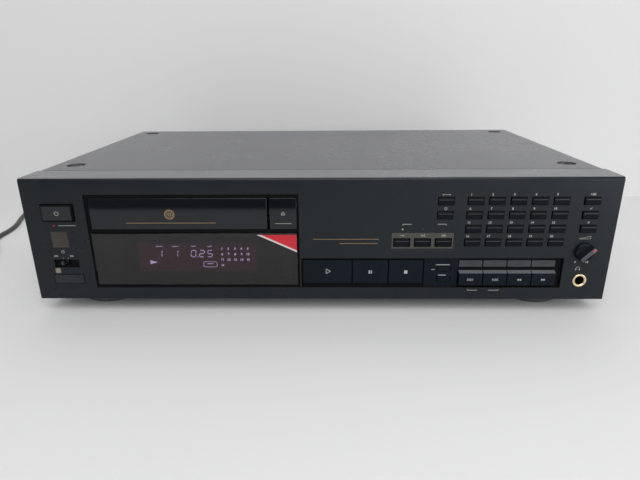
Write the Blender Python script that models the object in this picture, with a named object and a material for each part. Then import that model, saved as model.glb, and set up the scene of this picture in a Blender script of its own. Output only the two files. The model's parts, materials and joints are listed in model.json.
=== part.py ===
"""A front-loading disc player, modelled as the separate pieces it is assembled from.

Lengths are in metres and +Z is up. The part stands on its four feet, with its origin on
the floor under the middle of the case. The front faces -Y. Inside the script a place is
given as (x, depth, height): x from the middle of the case, depth back from the front face
and height above the front panel's lower edge.
"""

import math

import bmesh
import bpy
from mathutils import Matrix, Vector

# Clearances
TOUCH = 0.0003
RUNNING = 0.0004
OVERRUN = 0.0020
ROUND_STEPS = 24

# Disc tray
DISC_RECESS_RADIUS = 0.06075
DISC_RECESS_DEPTH = 0.0055
SMALL_RECESS_RADIUS = 0.04075
SMALL_RECESS_DEPTH = 0.0008
TRAY_RIM = 0.00155
TRAY_RIB = 0.0020
TRAY_RIB_HEIGHT = 0.0020
TRAY_HEIGHT = 0.0075
TRAY_FRONT_BAND = 0.0046
TRAY_TAIL = 0.0593
TRAY_TRAVEL = 0.140
TRAY_SLOT_WIDTH = 0.041
TRAY_SLOT_LEAD = 0.0185
TRAY_ABOVE_DOOR_EDGE = 0.0041

# Tray door
DOOR_OVERHANG = 0.00065
DOOR_HEIGHT = 0.0235
DOOR_THICKNESS = 0.0035
DOOR_SETBACK = 0.0006
DOOR_EDGE = 0.0007

# Front panel, built up from what it frames
LEFT_COLUMN_WIDTH = 0.0454
BAY_MARGIN_LEFT = 0.0027
BAY_MARGIN_RIGHT = 0.0014
BAY_MARGIN_TOP = 0.0029
BAY_MARGIN_BOTTOM = 0.0022
BAY_DEPTH = 0.0012
BAY_TO_STRIP = 0.0013
OPEN_KEY_GAP = 0.0017
OPEN_KEY_WIDTH = 0.0199
STRIP_TO_EDGE = 0.0337
LOWER_BAND = 0.0094
UPPER_BAND = 0.0121
WINDOW_HEIGHT = 0.0413
WINDOW_THICKNESS = 0.0018
WINDOW_SETBACK = 0.0004
WINDOW_SIDE = 0.0014
WINDOW_LEDGE = 0.0040
WINDOW_EDGE = 0.0004
WINDOW_TO_DOOR = 0.0030
PANEL_DEPTH = 0.0279
PANEL_WALL = 0.0030
FACE_WALL = 0.0042
PANEL_ROUND = 0.0020
BOSS_RADIUS = 0.0030

# Keys
KEY_TRAVEL = 0.0010
KEY_GAP = 0.00035
KEY_FLANGE = 0.0012
KEY_FLANGE_LIP = 0.0008
KEY_ROUND = 0.0008
KEY_EDGE = 0.0003
KEY_STEM_WIDTH = 0.0030
PAD_KEY_WIDTH = 0.0121
PAD_KEY_HEIGHT = 0.0068
PAD_KEY_PROUD = 0.0010
PAD_COLUMN_PITCH = 0.01515
PAD_ROW_PITCH = 0.01043
PAD_COLUMNS = 5
PAD_ROWS = 4
PAD_LAST_COLUMN_FROM_EDGE = 0.0418
PAD_ROW_FROM_TOP = 0.0173
SIDE_COLUMN_FROM_EDGE = 0.0199
SIDE_KEYS = 3
SETTING_COLUMN_FROM_PAD = 0.0210
MODE_PLATE_MARGIN = 0.0010
MODE_PLATE_DEPTH = 0.0004

# Power button
POWER_WIDTH = 0.0235
POWER_HEIGHT = 0.0126
POWER_PROUD = 0.0020
POWER_TRAVEL = 0.0030
POWER_FROM_TOP = 0.0254
LEFT_COLUMN_CENTRE_SHARE = 0.553

# Timer slide switch
TIMER_SLOT_WIDTH = 0.0185
TIMER_SLOT_HEIGHT = 0.0060
TIMER_SLOT_DEPTH = 0.0016
TIMER_HEIGHT = 0.0293
TIMER_KNOB_WIDTH = 0.0026
TIMER_KNOB_HEIGHT = 0.0034
TIMER_TRAVEL = 0.0040
TIMER_PLATE_LIP = 0.0012
SENSOR_WIDTH = 0.0231
SENSOR_HEIGHT = 0.0080
SENSOR_DEPTH = 0.0004
SENSOR_FROM_BOTTOM = 0.0126

# Key strip
STRIP_FROM_BOTTOM = 0.0096
STRIP_MARGIN = 0.0024
STRIP_SIDE = 0.0007
STRIP_POCKET = 0.0024
STRIP_END_GAP = 0.0048
STRIP_KEY_HEIGHT = 0.0189
STRIP_KEY_SETBACK = 0.0019
STRIP_KEY_SPACING = 0.0007
PLAY_WIDTH = 0.0371
PAUSE_WIDTH = 0.0264
STOP_WIDTH = 0.0257
BLANK_WIDTH = 0.0252
FUNCTION_WIDTH = 0.0173
FUNCTION_HEIGHT = 0.0052
FUNCTION_COUNT = 4
SKIP_HEIGHT = 0.0113
SKIP_PROUD = 0.0014
SKIP_SLOPE_HEIGHT = 0.0018
PROGRAM_KEY_WIDTH = 0.0099
PROGRAM_KEY_HEIGHT = 0.0036
PROGRAM_KEY_FROM_TOP = 0.0070
PROGRAM_KEY_PITCH = 0.0080
PROGRAM_KEY_FROM_RIGHT = 0.0101

# Level knob and headphone jack
KNOB_RADIUS = 0.00735
KNOB_SKIRT = 0.0020
KNOB_STANDOFF = 0.0008
KNOB_GRIP_HEIGHT = 0.0050
KNOB_GRIP_WIDTH = 0.0052
KNOB_GRIP_TOP_WIDTH = 0.0030
KNOB_SHAFT_RADIUS = 0.0030
KNOB_HEIGHT = 0.0385
KNOB_POINTER_DEG = 45.0
JACK_HEIGHT = 0.0157
JACK_RING_RADIUS = 0.0052
JACK_RING_PROUD = 0.0009
JACK_BARREL_RADIUS = 0.0046
JACK_BORE_RADIUS = 0.0033
JACK_BODY = 0.0130
JACK_BODY_REACH = 0.0290
JACK_BACK_WALL = 0.0020

# Front board
BOARD_SETBACK = 0.0088
BOARD_THICKNESS = 0.0016
BOARD_MARGIN = 0.0040
SWITCH_SIZE = 0.0060
SWITCH_HEIGHT = 0.0045
TUBE_WIDTH = 0.118
TUBE_HEIGHT = 0.0260
TUBE_THICKNESS = 0.0060
TUBE_CENTRE_SHARE = 0.505

# Case
COVER_INSET = 0.0022
SHEET = 0.0012
CHASSIS_WALL = 0.0080
REAR_ROOM = 0.0606
STANDOFF_HEIGHT = 0.0065
STANDOFF_RADIUS = 0.0035
CUP_RADIUS = 0.0070
CUP_DEPTH = 0.0022
CUP_FROM_SIDE = 0.0195
CUP_FROM_FRONT = 0.0500
CUP_FROM_REAR = 0.0175
SCREW_HEAD_RADIUS = 0.0045
SCREW_HEAD_HEIGHT = 0.0012

# Feet
FOOT_HEIGHT = 0.0120
FOOT_RADIUS = 0.0250
FOOT_SOLE_RADIUS = 0.0235
FOOT_NECK_RADIUS = 0.0215
FOOT_RIM = 0.0050
FOOT_SETBACK = 0.0170
FOOT_FROM_SIDE = 0.0400

# Transport
FRAME_WALL = 0.0030
FRAME_FRONT = 0.0180
FRAME_LEG_SETBACK = 0.0030
FRAME_FLOOR = 0.0280
FRAME_FLOOR_THICKNESS = 0.0025
FRAME_ABOVE_TRAY = 0.0075
FRAME_WINDOW_WIDTH = 0.0400
FRAME_LIP = 0.0017
FRAME_LEDGE = 0.0022
BRIDGE_LENGTH = 0.0400
BRIDGE_THICKNESS = 0.0025
PUCK_RADIUS = 0.0150
PUCK_NECK_RADIUS = 0.0114
PUCK_PAD = 0.0035
PUCK_FLANGE = 0.0024
PUCK_RECESS_RADIUS = 0.0082
PUCK_RECESS_DEPTH = 0.0025
PUCK_ABOVE_TRAY = 0.0010

# Tray drive
GEAR_MODULE = 0.00125
GEAR_TEETH = 20
GEAR_BACKLASH = 0.00035
GEAR_DEDENDUM_SHARE = 1.25
GEAR_THICKNESS = 0.0028
GEAR_DEPTH = 0.0380
GEAR_PRESSURE_DEG = 20.0
RACK_OFFSET = 0.0500
RACK_HEIGHT = 0.0037
RACK_BODY = 0.0034
HUB_RADIUS = 0.0050
PIN_RADIUS = 0.0015
PULLEY_RADIUS = 0.0136
PULLEY_LIP = 0.0014
PULLEY_HEIGHT = 0.0050
PULLEY_GROOVE = 0.0022
PULLEY_BELOW_GEAR = 0.0076
BELT_SIZE = 0.0016
BELT_SPAN = 0.0360
MOTOR_PULLEY_RADIUS = 0.0032
MOTOR_SHAFT_RADIUS = 0.0010
MOTOR_RADIUS = 0.0120
MOTOR_HEIGHT = 0.0180
MOTOR_BOSS_RADIUS = 0.0030
MOTOR_BOSS_HEIGHT = 0.0008

# Pickup unit, given level as when a disc plays
LIFT_DROP = 0.0080
HINGE_BEHIND_DISC = 0.1080
HINGE_HEIGHT = 0.0440
HINGE_PIN_RADIUS = 0.0020
HINGE_BLOCK_WIDTH = 0.0060
HINGE_BLOCK_LENGTH = 0.0100
HINGE_SIDE_GAP = 0.0020
BASE_WIDTH = 0.0760
BASE_FRONT = 0.0140
BASE_THICKNESS = 0.0030
BASE_ABOVE_HINGE = 0.0020
BASE_WINDOW_WIDTH = 0.0340
SPINDLE_RADIUS = 0.0120
SPINDLE_DROP = 0.0100
SPINDLE_RISE = 0.0020
SPINDLE_ROOM = 0.0040
TURNTABLE_RADIUS = 0.0150
TURNTABLE_THICKNESS = 0.0020
TURNTABLE_ABOVE_TRAY = 0.0005
CONE_RADIUS = 0.0074
CONE_TOP_RADIUS = 0.0052
CONE_HEIGHT = 0.0020
PICKUP_WIDTH = 0.0300
PICKUP_LENGTH = 0.0280
PICKUP_HEIGHT = 0.0180
PICKUP_DROP = 0.0020
PICKUP_FROM_DISC = 0.0170
PICKUP_TRAVEL = 0.0350
LENS_RADIUS = 0.0030
LENS_HEIGHT = 0.0025
LENS_SETBACK = 0.0070
ROD_RADIUS = 0.0015
ROD_ROOM = 0.0040
ROD_OFFSET = 0.0210
ROD_ABOVE_BASE = 0.0045
ROD_BLOCK = 0.0040
ROD_BLOCK_WIDTH = 0.0056
PICKUP_BUSH = 0.0070
PICKUP_LIP = 0.0060
PICKUP_LIP_THICKNESS = 0.0016

# Electronics at the back
MAIN_BOARD_GAP = 0.0060
MAIN_BOARD_SETBACK = 0.0125
TRANSFORMER_WIDTH = 0.0500
TRANSFORMER_LENGTH = 0.0420
TRANSFORMER_HEIGHT = 0.0430
TRANSFORMER_COIL_SHARE = 0.62
TRANSFORMER_FROM_SIDE = 0.0080
OUTLET_WIDTH = 0.0320
OUTLET_HEIGHT = 0.0180
OUTLET_LENGTH = 0.0140
OUTLET_SPACING = 0.0150
OUTLET_RADIUS = 0.00415
OUTLET_REACH = 0.0095
OUTLET_BORE_RADIUS = 0.0017
OUTLET_BORE_DEPTH = 0.0080
OUTLET_COLLAR_RADIUS = 0.0056
OUTLET_COLLAR = 0.0012
OUTLET_FROM_SIDE = 0.0700

# Mains lead
CORD_DIAMETER = 0.0046
CORD_EXIT_FROM_SIDE = 0.0750
CORD_EXIT_HEIGHT = 0.0220
RELIEF_RADIUS = 0.0055
RELIEF_NECK_RADIUS = 0.0045
RELIEF_TIP_RADIUS = 0.0036
RELIEF_REACH = 0.0255
RELIEF_FLANGE = 0.0030
RELIEF_INNER = 0.0040
COIL_INNER_RADIUS = 0.0186
COIL_SPACING = 0.0051
COIL_TURNS = 7
COIL_STEPS = 24
COIL_TAIL = 0.0400
COIL_TO_LEFT = 0.2235
COIL_FORWARD = 0.1821
PLUG_LENGTH = 0.0350
PLUG_WIDTH = 0.0137
PLUG_BACK_WIDTH = 0.0090
PLUG_HEIGHT = 0.0120
PLUG_NOSE_LENGTH = 0.0100
PLUG_PIN_RADIUS = 0.0020
PLUG_PIN_LENGTH = 0.0190
PLUG_PIN_SPACING = 0.0090
PLUG_PIN_SINK = 0.0040

# Worked out from the sizes above, from left to right
TRAY_HALF = DISC_RECESS_RADIUS + TRAY_RIM
RIB_HALF = TRAY_HALF + TRAY_RIB
DOOR_WIDTH = 2 * (RIB_HALF + DOOR_OVERHANG)
BAY_WIDTH = (
    BAY_MARGIN_LEFT + DOOR_WIDTH + OPEN_KEY_GAP + OPEN_KEY_WIDTH + BAY_MARGIN_RIGHT
)
STRIP_WIDTH = (
    STRIP_SIDE
    + PLAY_WIDTH
    + PAUSE_WIDTH
    + STOP_WIDTH
    + BLANK_WIDTH
    + FUNCTION_COUNT * (FUNCTION_WIDTH + STRIP_KEY_SPACING)
    + 3 * STRIP_KEY_SPACING
    + STRIP_END_GAP
)
PANEL_WIDTH = LEFT_COLUMN_WIDTH + BAY_WIDTH + BAY_TO_STRIP + STRIP_WIDTH + STRIP_TO_EDGE
HALF_WIDTH = PANEL_WIDTH / 2
BAY_LEFT = LEFT_COLUMN_WIDTH - HALF_WIDTH
BAY_RIGHT = BAY_LEFT + BAY_WIDTH
STRIP_LEFT = BAY_RIGHT + BAY_TO_STRIP
STRIP_RIGHT = STRIP_LEFT + STRIP_WIDTH
DOOR_LEFT = BAY_LEFT + BAY_MARGIN_LEFT
DOOR_RIGHT = DOOR_LEFT + DOOR_WIDTH
TRAY_X = DOOR_LEFT + DOOR_WIDTH / 2
LEFT_COLUMN_X = LEFT_COLUMN_WIDTH * LEFT_COLUMN_CENTRE_SHARE - HALF_WIDTH
PAD_LAST_X = HALF_WIDTH - PAD_LAST_COLUMN_FROM_EDGE
PAD_FIRST_X = PAD_LAST_X - (PAD_COLUMNS - 1) * PAD_COLUMN_PITCH
SETTING_X = PAD_FIRST_X - SETTING_COLUMN_FROM_PAD
SIDE_X = HALF_WIDTH - SIDE_COLUMN_FROM_EDGE

# From the bottom up
WINDOW_BOTTOM = LOWER_BAND + BAY_MARGIN_BOTTOM
DOOR_BOTTOM = WINDOW_BOTTOM + WINDOW_HEIGHT + WINDOW_TO_DOOR
DOOR_TOP = DOOR_BOTTOM + DOOR_HEIGHT
BAY_TOP = DOOR_TOP + BAY_MARGIN_TOP
PANEL_HEIGHT = BAY_TOP + UPPER_BAND
STRIP_TOP = STRIP_FROM_BOTTOM + 2 * STRIP_MARGIN + STRIP_KEY_HEIGHT
PAD_TOP_ROW = PANEL_HEIGHT - PAD_ROW_FROM_TOP
BASE_BOTTOM = HINGE_HEIGHT + BASE_ABOVE_HINGE
BASE_TOP = BASE_BOTTOM + BASE_THICKNESS
ROD_LEVEL = BASE_TOP + ROD_ABOVE_BASE
PICKUP_BUSH_TOP = ROD_LEVEL + PICKUP_BUSH / 2
TRAY_BOTTOM = max(DOOR_BOTTOM + TRAY_ABOVE_DOOR_EDGE, PICKUP_BUSH_TOP + RUNNING)
TRAY_TOP = TRAY_BOTTOM + TRAY_HEIGHT
FRAME_TOP = TRAY_TOP + FRAME_ABOVE_TRAY
FRAME_FLOOR_TOP = FRAME_FLOOR + FRAME_FLOOR_THICKNESS
CHASSIS_TOP = SHEET + TOUCH
BRIDGE_BOTTOM = FRAME_TOP + TOUCH
BRIDGE_TOP = BRIDGE_BOTTOM + BRIDGE_THICKNESS
MAIN_BOARD_BOTTOM = SHEET + STANDOFF_HEIGHT + TOUCH
MAIN_BOARD_TOP = MAIN_BOARD_BOTTOM + BOARD_THICKNESS

# From front to back
FLANGE_DEPTH = FACE_WALL + TOUCH
BOARD_DEPTH = FACE_WALL + BOARD_SETBACK
SWITCH_DEPTH = BOARD_DEPTH - SWITCH_HEIGHT
STEM_DEPTH = SWITCH_DEPTH - KEY_TRAVEL - TOUCH
TRAY_FRONT = DOOR_SETBACK + DOOR_THICKNESS + TOUCH
DISC_DEPTH = TRAY_FRONT + TRAY_FRONT_BAND + DISC_RECESS_RADIUS
TRAY_REAR = DISC_DEPTH + DISC_RECESS_RADIUS + TRAY_TAIL
HINGE_DEPTH = DISC_DEPTH + HINGE_BEHIND_DISC
HINGE_REAR = HINGE_DEPTH + HINGE_BLOCK_LENGTH / 2
FRAME_REAR = max(TRAY_REAR + 2 * TOUCH, HINGE_REAR + TOUCH) + FRAME_WALL
CASE_DEPTH = FRAME_REAR + REAR_ROOM
COVER_FRONT = PANEL_DEPTH + TOUCH
PANEL_INNER = HALF_WIDTH - PANEL_WALL
COVER_HALF = HALF_WIDTH - COVER_INSET
CHASSIS_HALF = COVER_HALF - SHEET - TOUCH
FRAME_INNER = RIB_HALF + RUNNING
FRAME_HALF = FRAME_INNER + FRAME_WALL

# The drive and the pickup unit
GEAR_RADIUS = GEAR_MODULE * GEAR_TEETH / 2
GEAR_X = TRAY_X + RACK_OFFSET - GEAR_RADIUS
GEAR_TOP = TRAY_BOTTOM - 2 * TOUCH
GEAR_BOTTOM = GEAR_TOP - GEAR_THICKNESS
PULLEY_TOP = GEAR_BOTTOM - PULLEY_BELOW_GEAR
PULLEY_BOTTOM = PULLEY_TOP - PULLEY_HEIGHT
BELT_RADIUS = PULLEY_RADIUS + TOUCH
MOTOR_BELT_RADIUS = MOTOR_PULLEY_RADIUS + TOUCH
MOTOR_X = GEAR_X - BELT_SPAN
LIFT_ANGLE = math.asin(LIFT_DROP / HINGE_BEHIND_DISC)
PUCK_BOTTOM = TRAY_TOP + PUCK_ABOVE_TRAY
DISC_SEAT = TRAY_TOP - TURNTABLE_ABOVE_TRAY
KNOB_FRONT = KNOB_STANDOFF + KNOB_SKIRT + KNOB_GRIP_HEIGHT
OUTLET_REAR = CASE_DEPTH + OUTLET_REACH

# The middle of the case in depth, and the cord's height above the panel's lower edge
RELIEF_REAR = CASE_DEPTH + TOUCH + RELIEF_REACH
ORIGIN_DEPTH = (RELIEF_REAR - KNOB_FRONT) / 2
CORD_RADIUS = CORD_DIAMETER / 2
CORD_LIFT = 0.0001
CORD_FLOOR = CORD_RADIUS + CORD_LIFT - FOOT_HEIGHT
CORD_EXIT_X = -HALF_WIDTH + CORD_EXIT_FROM_SIDE
CORD_START = RELIEF_REAR + TOUCH
CORD_DROP = CORD_EXIT_HEIGHT - CORD_FLOOR
COIL_X = CORD_EXIT_X - COIL_TO_LEFT
COIL_DEPTH = CORD_START - COIL_FORWARD
PLUG_MIDDLE = PLUG_HEIGHT / 2 + CORD_LIFT - FOOT_HEIGHT

# Colours: linear base colour, roughness and metallic value
FINISHES = {
    "satin_black": ((0.020, 0.022, 0.026), 0.42, 0.0),
    "cover_paint": ((0.030, 0.031, 0.034), 0.38, 0.2),
    "zinc_steel": ((0.56, 0.57, 0.58), 0.35, 1.0),
    "gloss_black": ((0.010, 0.011, 0.016), 0.12, 0.0),
    "smoke_window": ((0.030, 0.026, 0.030), 0.08, 0.0),
    "key_black": ((0.014, 0.016, 0.021), 0.30, 0.0),
    "key_grey": ((0.035, 0.036, 0.040), 0.35, 0.0),
    "foot_plastic": ((0.030, 0.030, 0.032), 0.55, 0.0),
    "tray_plastic": ((0.022, 0.023, 0.025), 0.50, 0.0),
    "grey_plastic": ((0.16, 0.16, 0.17), 0.50, 0.0),
    "white_plastic": ((0.70, 0.69, 0.66), 0.40, 0.0),
    "rubber": ((0.015, 0.015, 0.016), 0.75, 0.0),
    "circuit_board": ((0.10, 0.075, 0.030), 0.45, 0.0),
    "gold": ((0.83, 0.62, 0.26), 0.22, 1.0),
    "transformer_steel": ((0.30, 0.29, 0.28), 0.45, 0.8),
    "lead_rubber": ((0.045, 0.042, 0.038), 0.60, 0.0),
}

# The mains lead where it isn't coiled, from where it leaves its bush: how far to the
# left, how far back, and its height as a share of the drop to the floor
LEAD_ROUTE = [
    (0.0000, 0.0119, 0.937),
    (0.0005, 0.0209, 0.715),
    (0.0025, 0.0284, 0.430),
    (0.0070, 0.0344, 0.177),
    (0.0150, 0.0389, 0.035),
    (0.0280, 0.0414, 0),
    (0.0500, 0.0414, 0),
    (0.0900, 0.0384, 0),
    (0.1300, 0.0364, 0),
    (0.1700, 0.0364, 0),
    (0.2000, 0.0374, 0),
    (0.2200, 0.0354, 0),
    (0.2360, 0.0270, 0),
    (0.2440, 0.0115, 0),
    (0.2435, -0.0061, 0),
    (0.2368, -0.0290, 0),
    (0.2319, -0.0438, 0),
    (0.2256, -0.0604, 0),
    (0.2220, -0.0741, 0),
    (0.2201, -0.0881, 0),
    (0.2194, -0.1039, 0),
    (0.2155, -0.1190, 0),
    (0.2040, -0.1370, 0),
    (0.1925, -0.1550, 0),
]
LEAD_STEPS_PER_SPAN = 3


def clear_scene():
    """Removes what the scene holds, so that the script can be run again."""
    for thing in list(bpy.data.objects):
        bpy.data.objects.remove(thing, do_unlink=True)


def make_materials():
    """One Principled material for each finish."""
    made = {}
    for name, (colour, roughness, metallic) in FINISHES.items():
        material = bpy.data.materials.new(name)
        material.use_nodes = True
        shader = material.node_tree.nodes["Principled BSDF"]
        shader.inputs["Base Color"].default_value = (*colour, 1.0)
        shader.inputs["Roughness"].default_value = roughness
        shader.inputs["Metallic"].default_value = metallic
        material.diffuse_color = (*colour, 1.0)
        made[name] = material
    return made


def shape(bm):
    """A bmesh as a new linked object with its faces pointing out."""
    bmesh.ops.recalc_face_normals(bm, faces=bm.faces)
    mesh = bpy.data.meshes.new("shape")
    bm.to_mesh(mesh)
    bm.free()
    made = bpy.data.objects.new("shape", mesh)
    bpy.context.scene.collection.objects.link(made)
    return made


def block(low, high, corner=0, edge=0, axis=1):
    """A box between two corners. corner rounds its edges along axis, edge breaks the rest."""
    bm = bmesh.new()
    size = [b - a for a, b in zip(low, high)]
    middle = [(a + b) / 2 for a, b in zip(low, high)]
    bmesh.ops.create_cube(bm, size=1)
    bmesh.ops.scale(bm, vec=size, verts=bm.verts)
    bmesh.ops.translate(bm, vec=middle, verts=bm.verts)
    if corner:
        along = [e for e in bm.edges if is_along(e, axis)]
        bmesh.ops.bevel(bm, geom=along, offset=corner, segments=2, affect="EDGES", profile=0.5)
    if edge:
        front = [e for e in bm.edges if all(v.co[axis] < middle[axis] for v in e.verts)]
        bmesh.ops.bevel(bm, geom=front, offset=edge, segments=1, affect="EDGES", profile=0.5)
    return shape(bm)


def is_along(edge, axis):
    """True for an edge that runs along a world axis."""
    run = edge.verts[1].co - edge.verts[0].co
    return abs(run[axis]) > 0.99 * run.length


def on_axes(first, second, along, axis):
    """A point from its place along an axis and its two places across that axis."""
    if axis == 0:
        return (along, first, second)
    if axis == 1:
        return (first, along, second)
    return (first, second, along)


def prism(outline, low, high, axis):
    """A closed outline, in the two directions across axis, carried from low to high."""
    bm = bmesh.new()
    ends = []
    for along in (low, high):
        ring = [bm.verts.new(on_axes(a, b, along, axis)) for a, b in outline]
        ends.append(ring)
        bm.faces.new(ring)
    for i in range(len(outline)):
        j = (i + 1) % len(outline)
        bm.faces.new((ends[0][i], ends[0][j], ends[1][j], ends[1][i]))
    return shape(bm)


def ring_prism(outer, inner, low, high, axis):
    """The band between two outlines of as many points, carried from low to high."""
    bm = bmesh.new()
    count = len(outer)
    rings = []
    for along in (low, high):
        for outline in (outer, inner):
            rings.append([bm.verts.new(on_axes(a, b, along, axis)) for a, b in outline])
    for a, b in ((0, 2), (3, 1), (0, 1), (2, 3)):
        for i in range(count):
            j = (i + 1) % count
            bm.faces.new((rings[a][i], rings[a][j], rings[b][j], rings[b][i]))
    return shape(bm)


def turned(profile, centre, axis, steps=ROUND_STEPS):
    """A profile of (radius, place along axis) turned about an axis through centre.

    A profile that starts and ends at radius 0 gives a solid, any other a closed ring.
    """
    bm = bmesh.new()
    across = [i for i in range(3) if i != axis]
    rings = []
    for radius, along in profile:
        if radius == 0:
            point = on_axes(centre[across[0]], centre[across[1]], along, axis)
            rings.append([bm.verts.new(point)])
            continue
        ring = []
        for i in range(steps):
            angle = 2 * math.pi * i / steps
            first = centre[across[0]] + radius * math.cos(angle)
            second = centre[across[1]] + radius * math.sin(angle)
            ring.append(bm.verts.new(on_axes(first, second, along, axis)))
        rings.append(ring)
    pairs = list(zip(rings, rings[1:]))
    if profile[0][0] != 0:
        pairs.append((rings[-1], rings[0]))
    for first, second in pairs:
        for i in range(steps):
            j = (i + 1) % steps
            corners = [first[i % len(first)], first[j % len(first)]]
            corners += [second[j % len(second)], second[i % len(second)]]
            bm.faces.new(list(dict.fromkeys(corners)))
    return shape(bm)


def cylinder(radius, low, high, centre, axis, steps=ROUND_STEPS):
    """A plain round bar about an axis through centre."""
    return turned([(0, low), (radius, low), (radius, high), (0, high)], centre, axis, steps)


def combine(base, tools, operation):
    """Applies one exact Boolean of the tools to the base, then drops the tools."""
    group = bpy.data.collections.new("tools")
    bpy.context.scene.collection.children.link(group)
    for tool in tools:
        group.objects.link(tool)
    modifier = base.modifiers.new("combine", "BOOLEAN")
    modifier.operation = operation
    modifier.solver = "EXACT"
    modifier.operand_type = "COLLECTION"
    modifier.collection = group
    depsgraph = bpy.context.evaluated_depsgraph_get()
    mesh = bpy.data.meshes.new_from_object(base.evaluated_get(depsgraph), depsgraph=depsgraph)
    base.modifiers.clear()
    base.data = mesh
    for tool in tools:
        bpy.data.objects.remove(tool, do_unlink=True)
    bpy.data.collections.remove(group)
    return base


def unite(base, *tools):
    """The base and the tools as one body."""
    return combine(base, tools, "UNION")


def cut(base, *tools):
    """The base without what the tools cover."""
    return combine(base, tools, "DIFFERENCE")


def place(piece, name, material, origin, parent):
    """Names a finished piece, gives it its origin and its finish and hangs it on its parent."""
    piece.data.transform(Matrix.Translation(-Vector(origin)))
    piece.data.materials.clear()
    piece.data.materials.append(material)
    piece.data.shade_smooth()
    piece.data.set_sharp_from_angle(angle=math.radians(35))
    piece.data.name = name
    piece.name = name
    piece.location = Vector(origin) - parent_place(parent)
    piece.parent = parent
    return piece


def parent_place(parent):
    """Where a parent empty stands, as (x, depth, height)."""
    if parent.parent is None:
        return Vector((0, 0, 0))
    return parent.location


def copy_of(piece, name, shift):
    """Another object that shares a piece's mesh, moved along by shift."""
    made = piece.copy()
    made.name = name
    made.location = piece.location + Vector(shift)
    bpy.context.scene.collection.objects.link(made)
    return made


def make_datum():
    """The empty that puts (x, depth, height) places in the row frame."""
    datum = bpy.data.objects.new("case_datum", None)
    bpy.context.scene.collection.objects.link(datum)
    datum.location = (0, -ORIGIN_DEPTH, FOOT_HEIGHT)
    return datum


def make_lift_hinge(datum):
    """The empty on the pickup unit's hinge, turned down to where the unit rests."""
    hinge = bpy.data.objects.new("lift_hinge_axis", None)
    bpy.context.scene.collection.objects.link(hinge)
    hinge.parent = datum
    hinge.location = (TRAY_X, HINGE_DEPTH, HINGE_HEIGHT)
    hinge.rotation_euler = (LIFT_ANGLE, 0, 0)
    return hinge


# Keys

def key_table():
    """Every single press key: name, middle, width, height, how proud, depth of its front."""
    keys = []
    for name, row in (("edit_key", 0), ("time_key", 1)):
        keys.append((name, SETTING_X, pad_row(row)))
    for i, name in enumerate(("mode_key_continue", "mode_key_shuffle", "mode_key_program")):
        keys.append((name, SETTING_X - (2 - i) * PAD_COLUMN_PITCH, pad_row(PAD_ROWS - 1)))
    for i in range(SIDE_KEYS):
        keys.append((f"side_key_{i + 1}", SIDE_X, pad_row(i)))
    return keys


def pad_row(row):
    """Height of a row of the key pad."""
    return PAD_TOP_ROW - row * PAD_ROW_PITCH


def pad_column(column):
    """Place of a column of the number keys."""
    return PAD_FIRST_X + column * PAD_COLUMN_PITCH


def key_shapes(x, z, width, height, front, lip_x=KEY_FLANGE_LIP, corner=KEY_ROUND):
    """A key's cap, its flange behind the panel and its stem, to be united."""
    cap = block(
        (x - width / 2, front, z - height / 2),
        (x + width / 2, FLANGE_DEPTH + KEY_FLANGE / 2, z + height / 2),
        corner=corner,
        edge=KEY_EDGE,
    )
    flange = block(
        (x - width / 2 - lip_x, FLANGE_DEPTH, z - height / 2 - KEY_FLANGE_LIP),
        (x + width / 2 + lip_x, FLANGE_DEPTH + KEY_FLANGE, z + height / 2 + KEY_FLANGE_LIP),
    )
    stem = block(
        (x - KEY_STEM_WIDTH / 2, FLANGE_DEPTH + KEY_FLANGE / 2, z - KEY_STEM_WIDTH / 2),
        (x + KEY_STEM_WIDTH / 2, STEM_DEPTH, z + KEY_STEM_WIDTH / 2),
    )
    return [cap, flange, stem]


def make_pad_keys(materials, datum):
    """The single keys of the pad, which share one mesh."""
    first = None
    start = None
    for name, x, z in key_table():
        if first is None:
            cap, flange, stem = key_shapes(x, z, PAD_KEY_WIDTH, PAD_KEY_HEIGHT, -PAD_KEY_PROUD)
            made = unite(cap, flange, stem)
            first = place(made, name, materials["key_black"], (x, 0, z), datum)
            start = (x, z)
        else:
            copy_of(first, name, (x - start[0], 0, z - start[1]))


def make_number_rows(materials, datum):
    """Four rows of five number keys, each row one moulding with a web behind the panel."""
    z = pad_row(0)
    caps = []
    for column in range(PAD_COLUMNS):
        x = pad_column(column)
        cap, flange, stem = key_shapes(x, z, PAD_KEY_WIDTH, PAD_KEY_HEIGHT, -PAD_KEY_PROUD)
        bpy.data.objects.remove(flange, do_unlink=True)
        caps += [cap, stem]
    reach = PAD_KEY_WIDTH / 2 + KEY_FLANGE_LIP
    web = block(
        (pad_column(0) - reach, FLANGE_DEPTH, z - PAD_KEY_HEIGHT / 2 - KEY_FLANGE_LIP),
        (
            pad_column(PAD_COLUMNS - 1) + reach,
            FLANGE_DEPTH + KEY_FLANGE,
            z + PAD_KEY_HEIGHT / 2 + KEY_FLANGE_LIP,
        ),
    )
    middle = (pad_column(0) + pad_column(PAD_COLUMNS - 1)) / 2
    row = unite(web, *caps)
    first = place(row, "number_keys_row_1", materials["key_black"], (middle, 0, z), datum)
    for i in range(1, PAD_ROWS):
        copy_of(first, f"number_keys_row_{i + 1}", (0, 0, -i * PAD_ROW_PITCH))


def strip_places():
    """Left edge and width of each place along the key strip, from the left."""
    places = {}
    left = STRIP_LEFT + STRIP_SIDE
    for name, width in (
        ("play", PLAY_WIDTH),
        ("pause", PAUSE_WIDTH),
        ("stop", STOP_WIDTH),
        ("blank", BLANK_WIDTH),
    ):
        places[name] = (left, width)
        left += width + STRIP_KEY_SPACING
    for i in range(FUNCTION_COUNT):
        places[f"column_{i + 1}"] = (left, FUNCTION_WIDTH)
        left += FUNCTION_WIDTH + STRIP_KEY_SPACING
    return places


def strip_low():
    """Height of the lower edge of the strip's keys."""
    return STRIP_FROM_BOTTOM + STRIP_MARGIN


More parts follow.
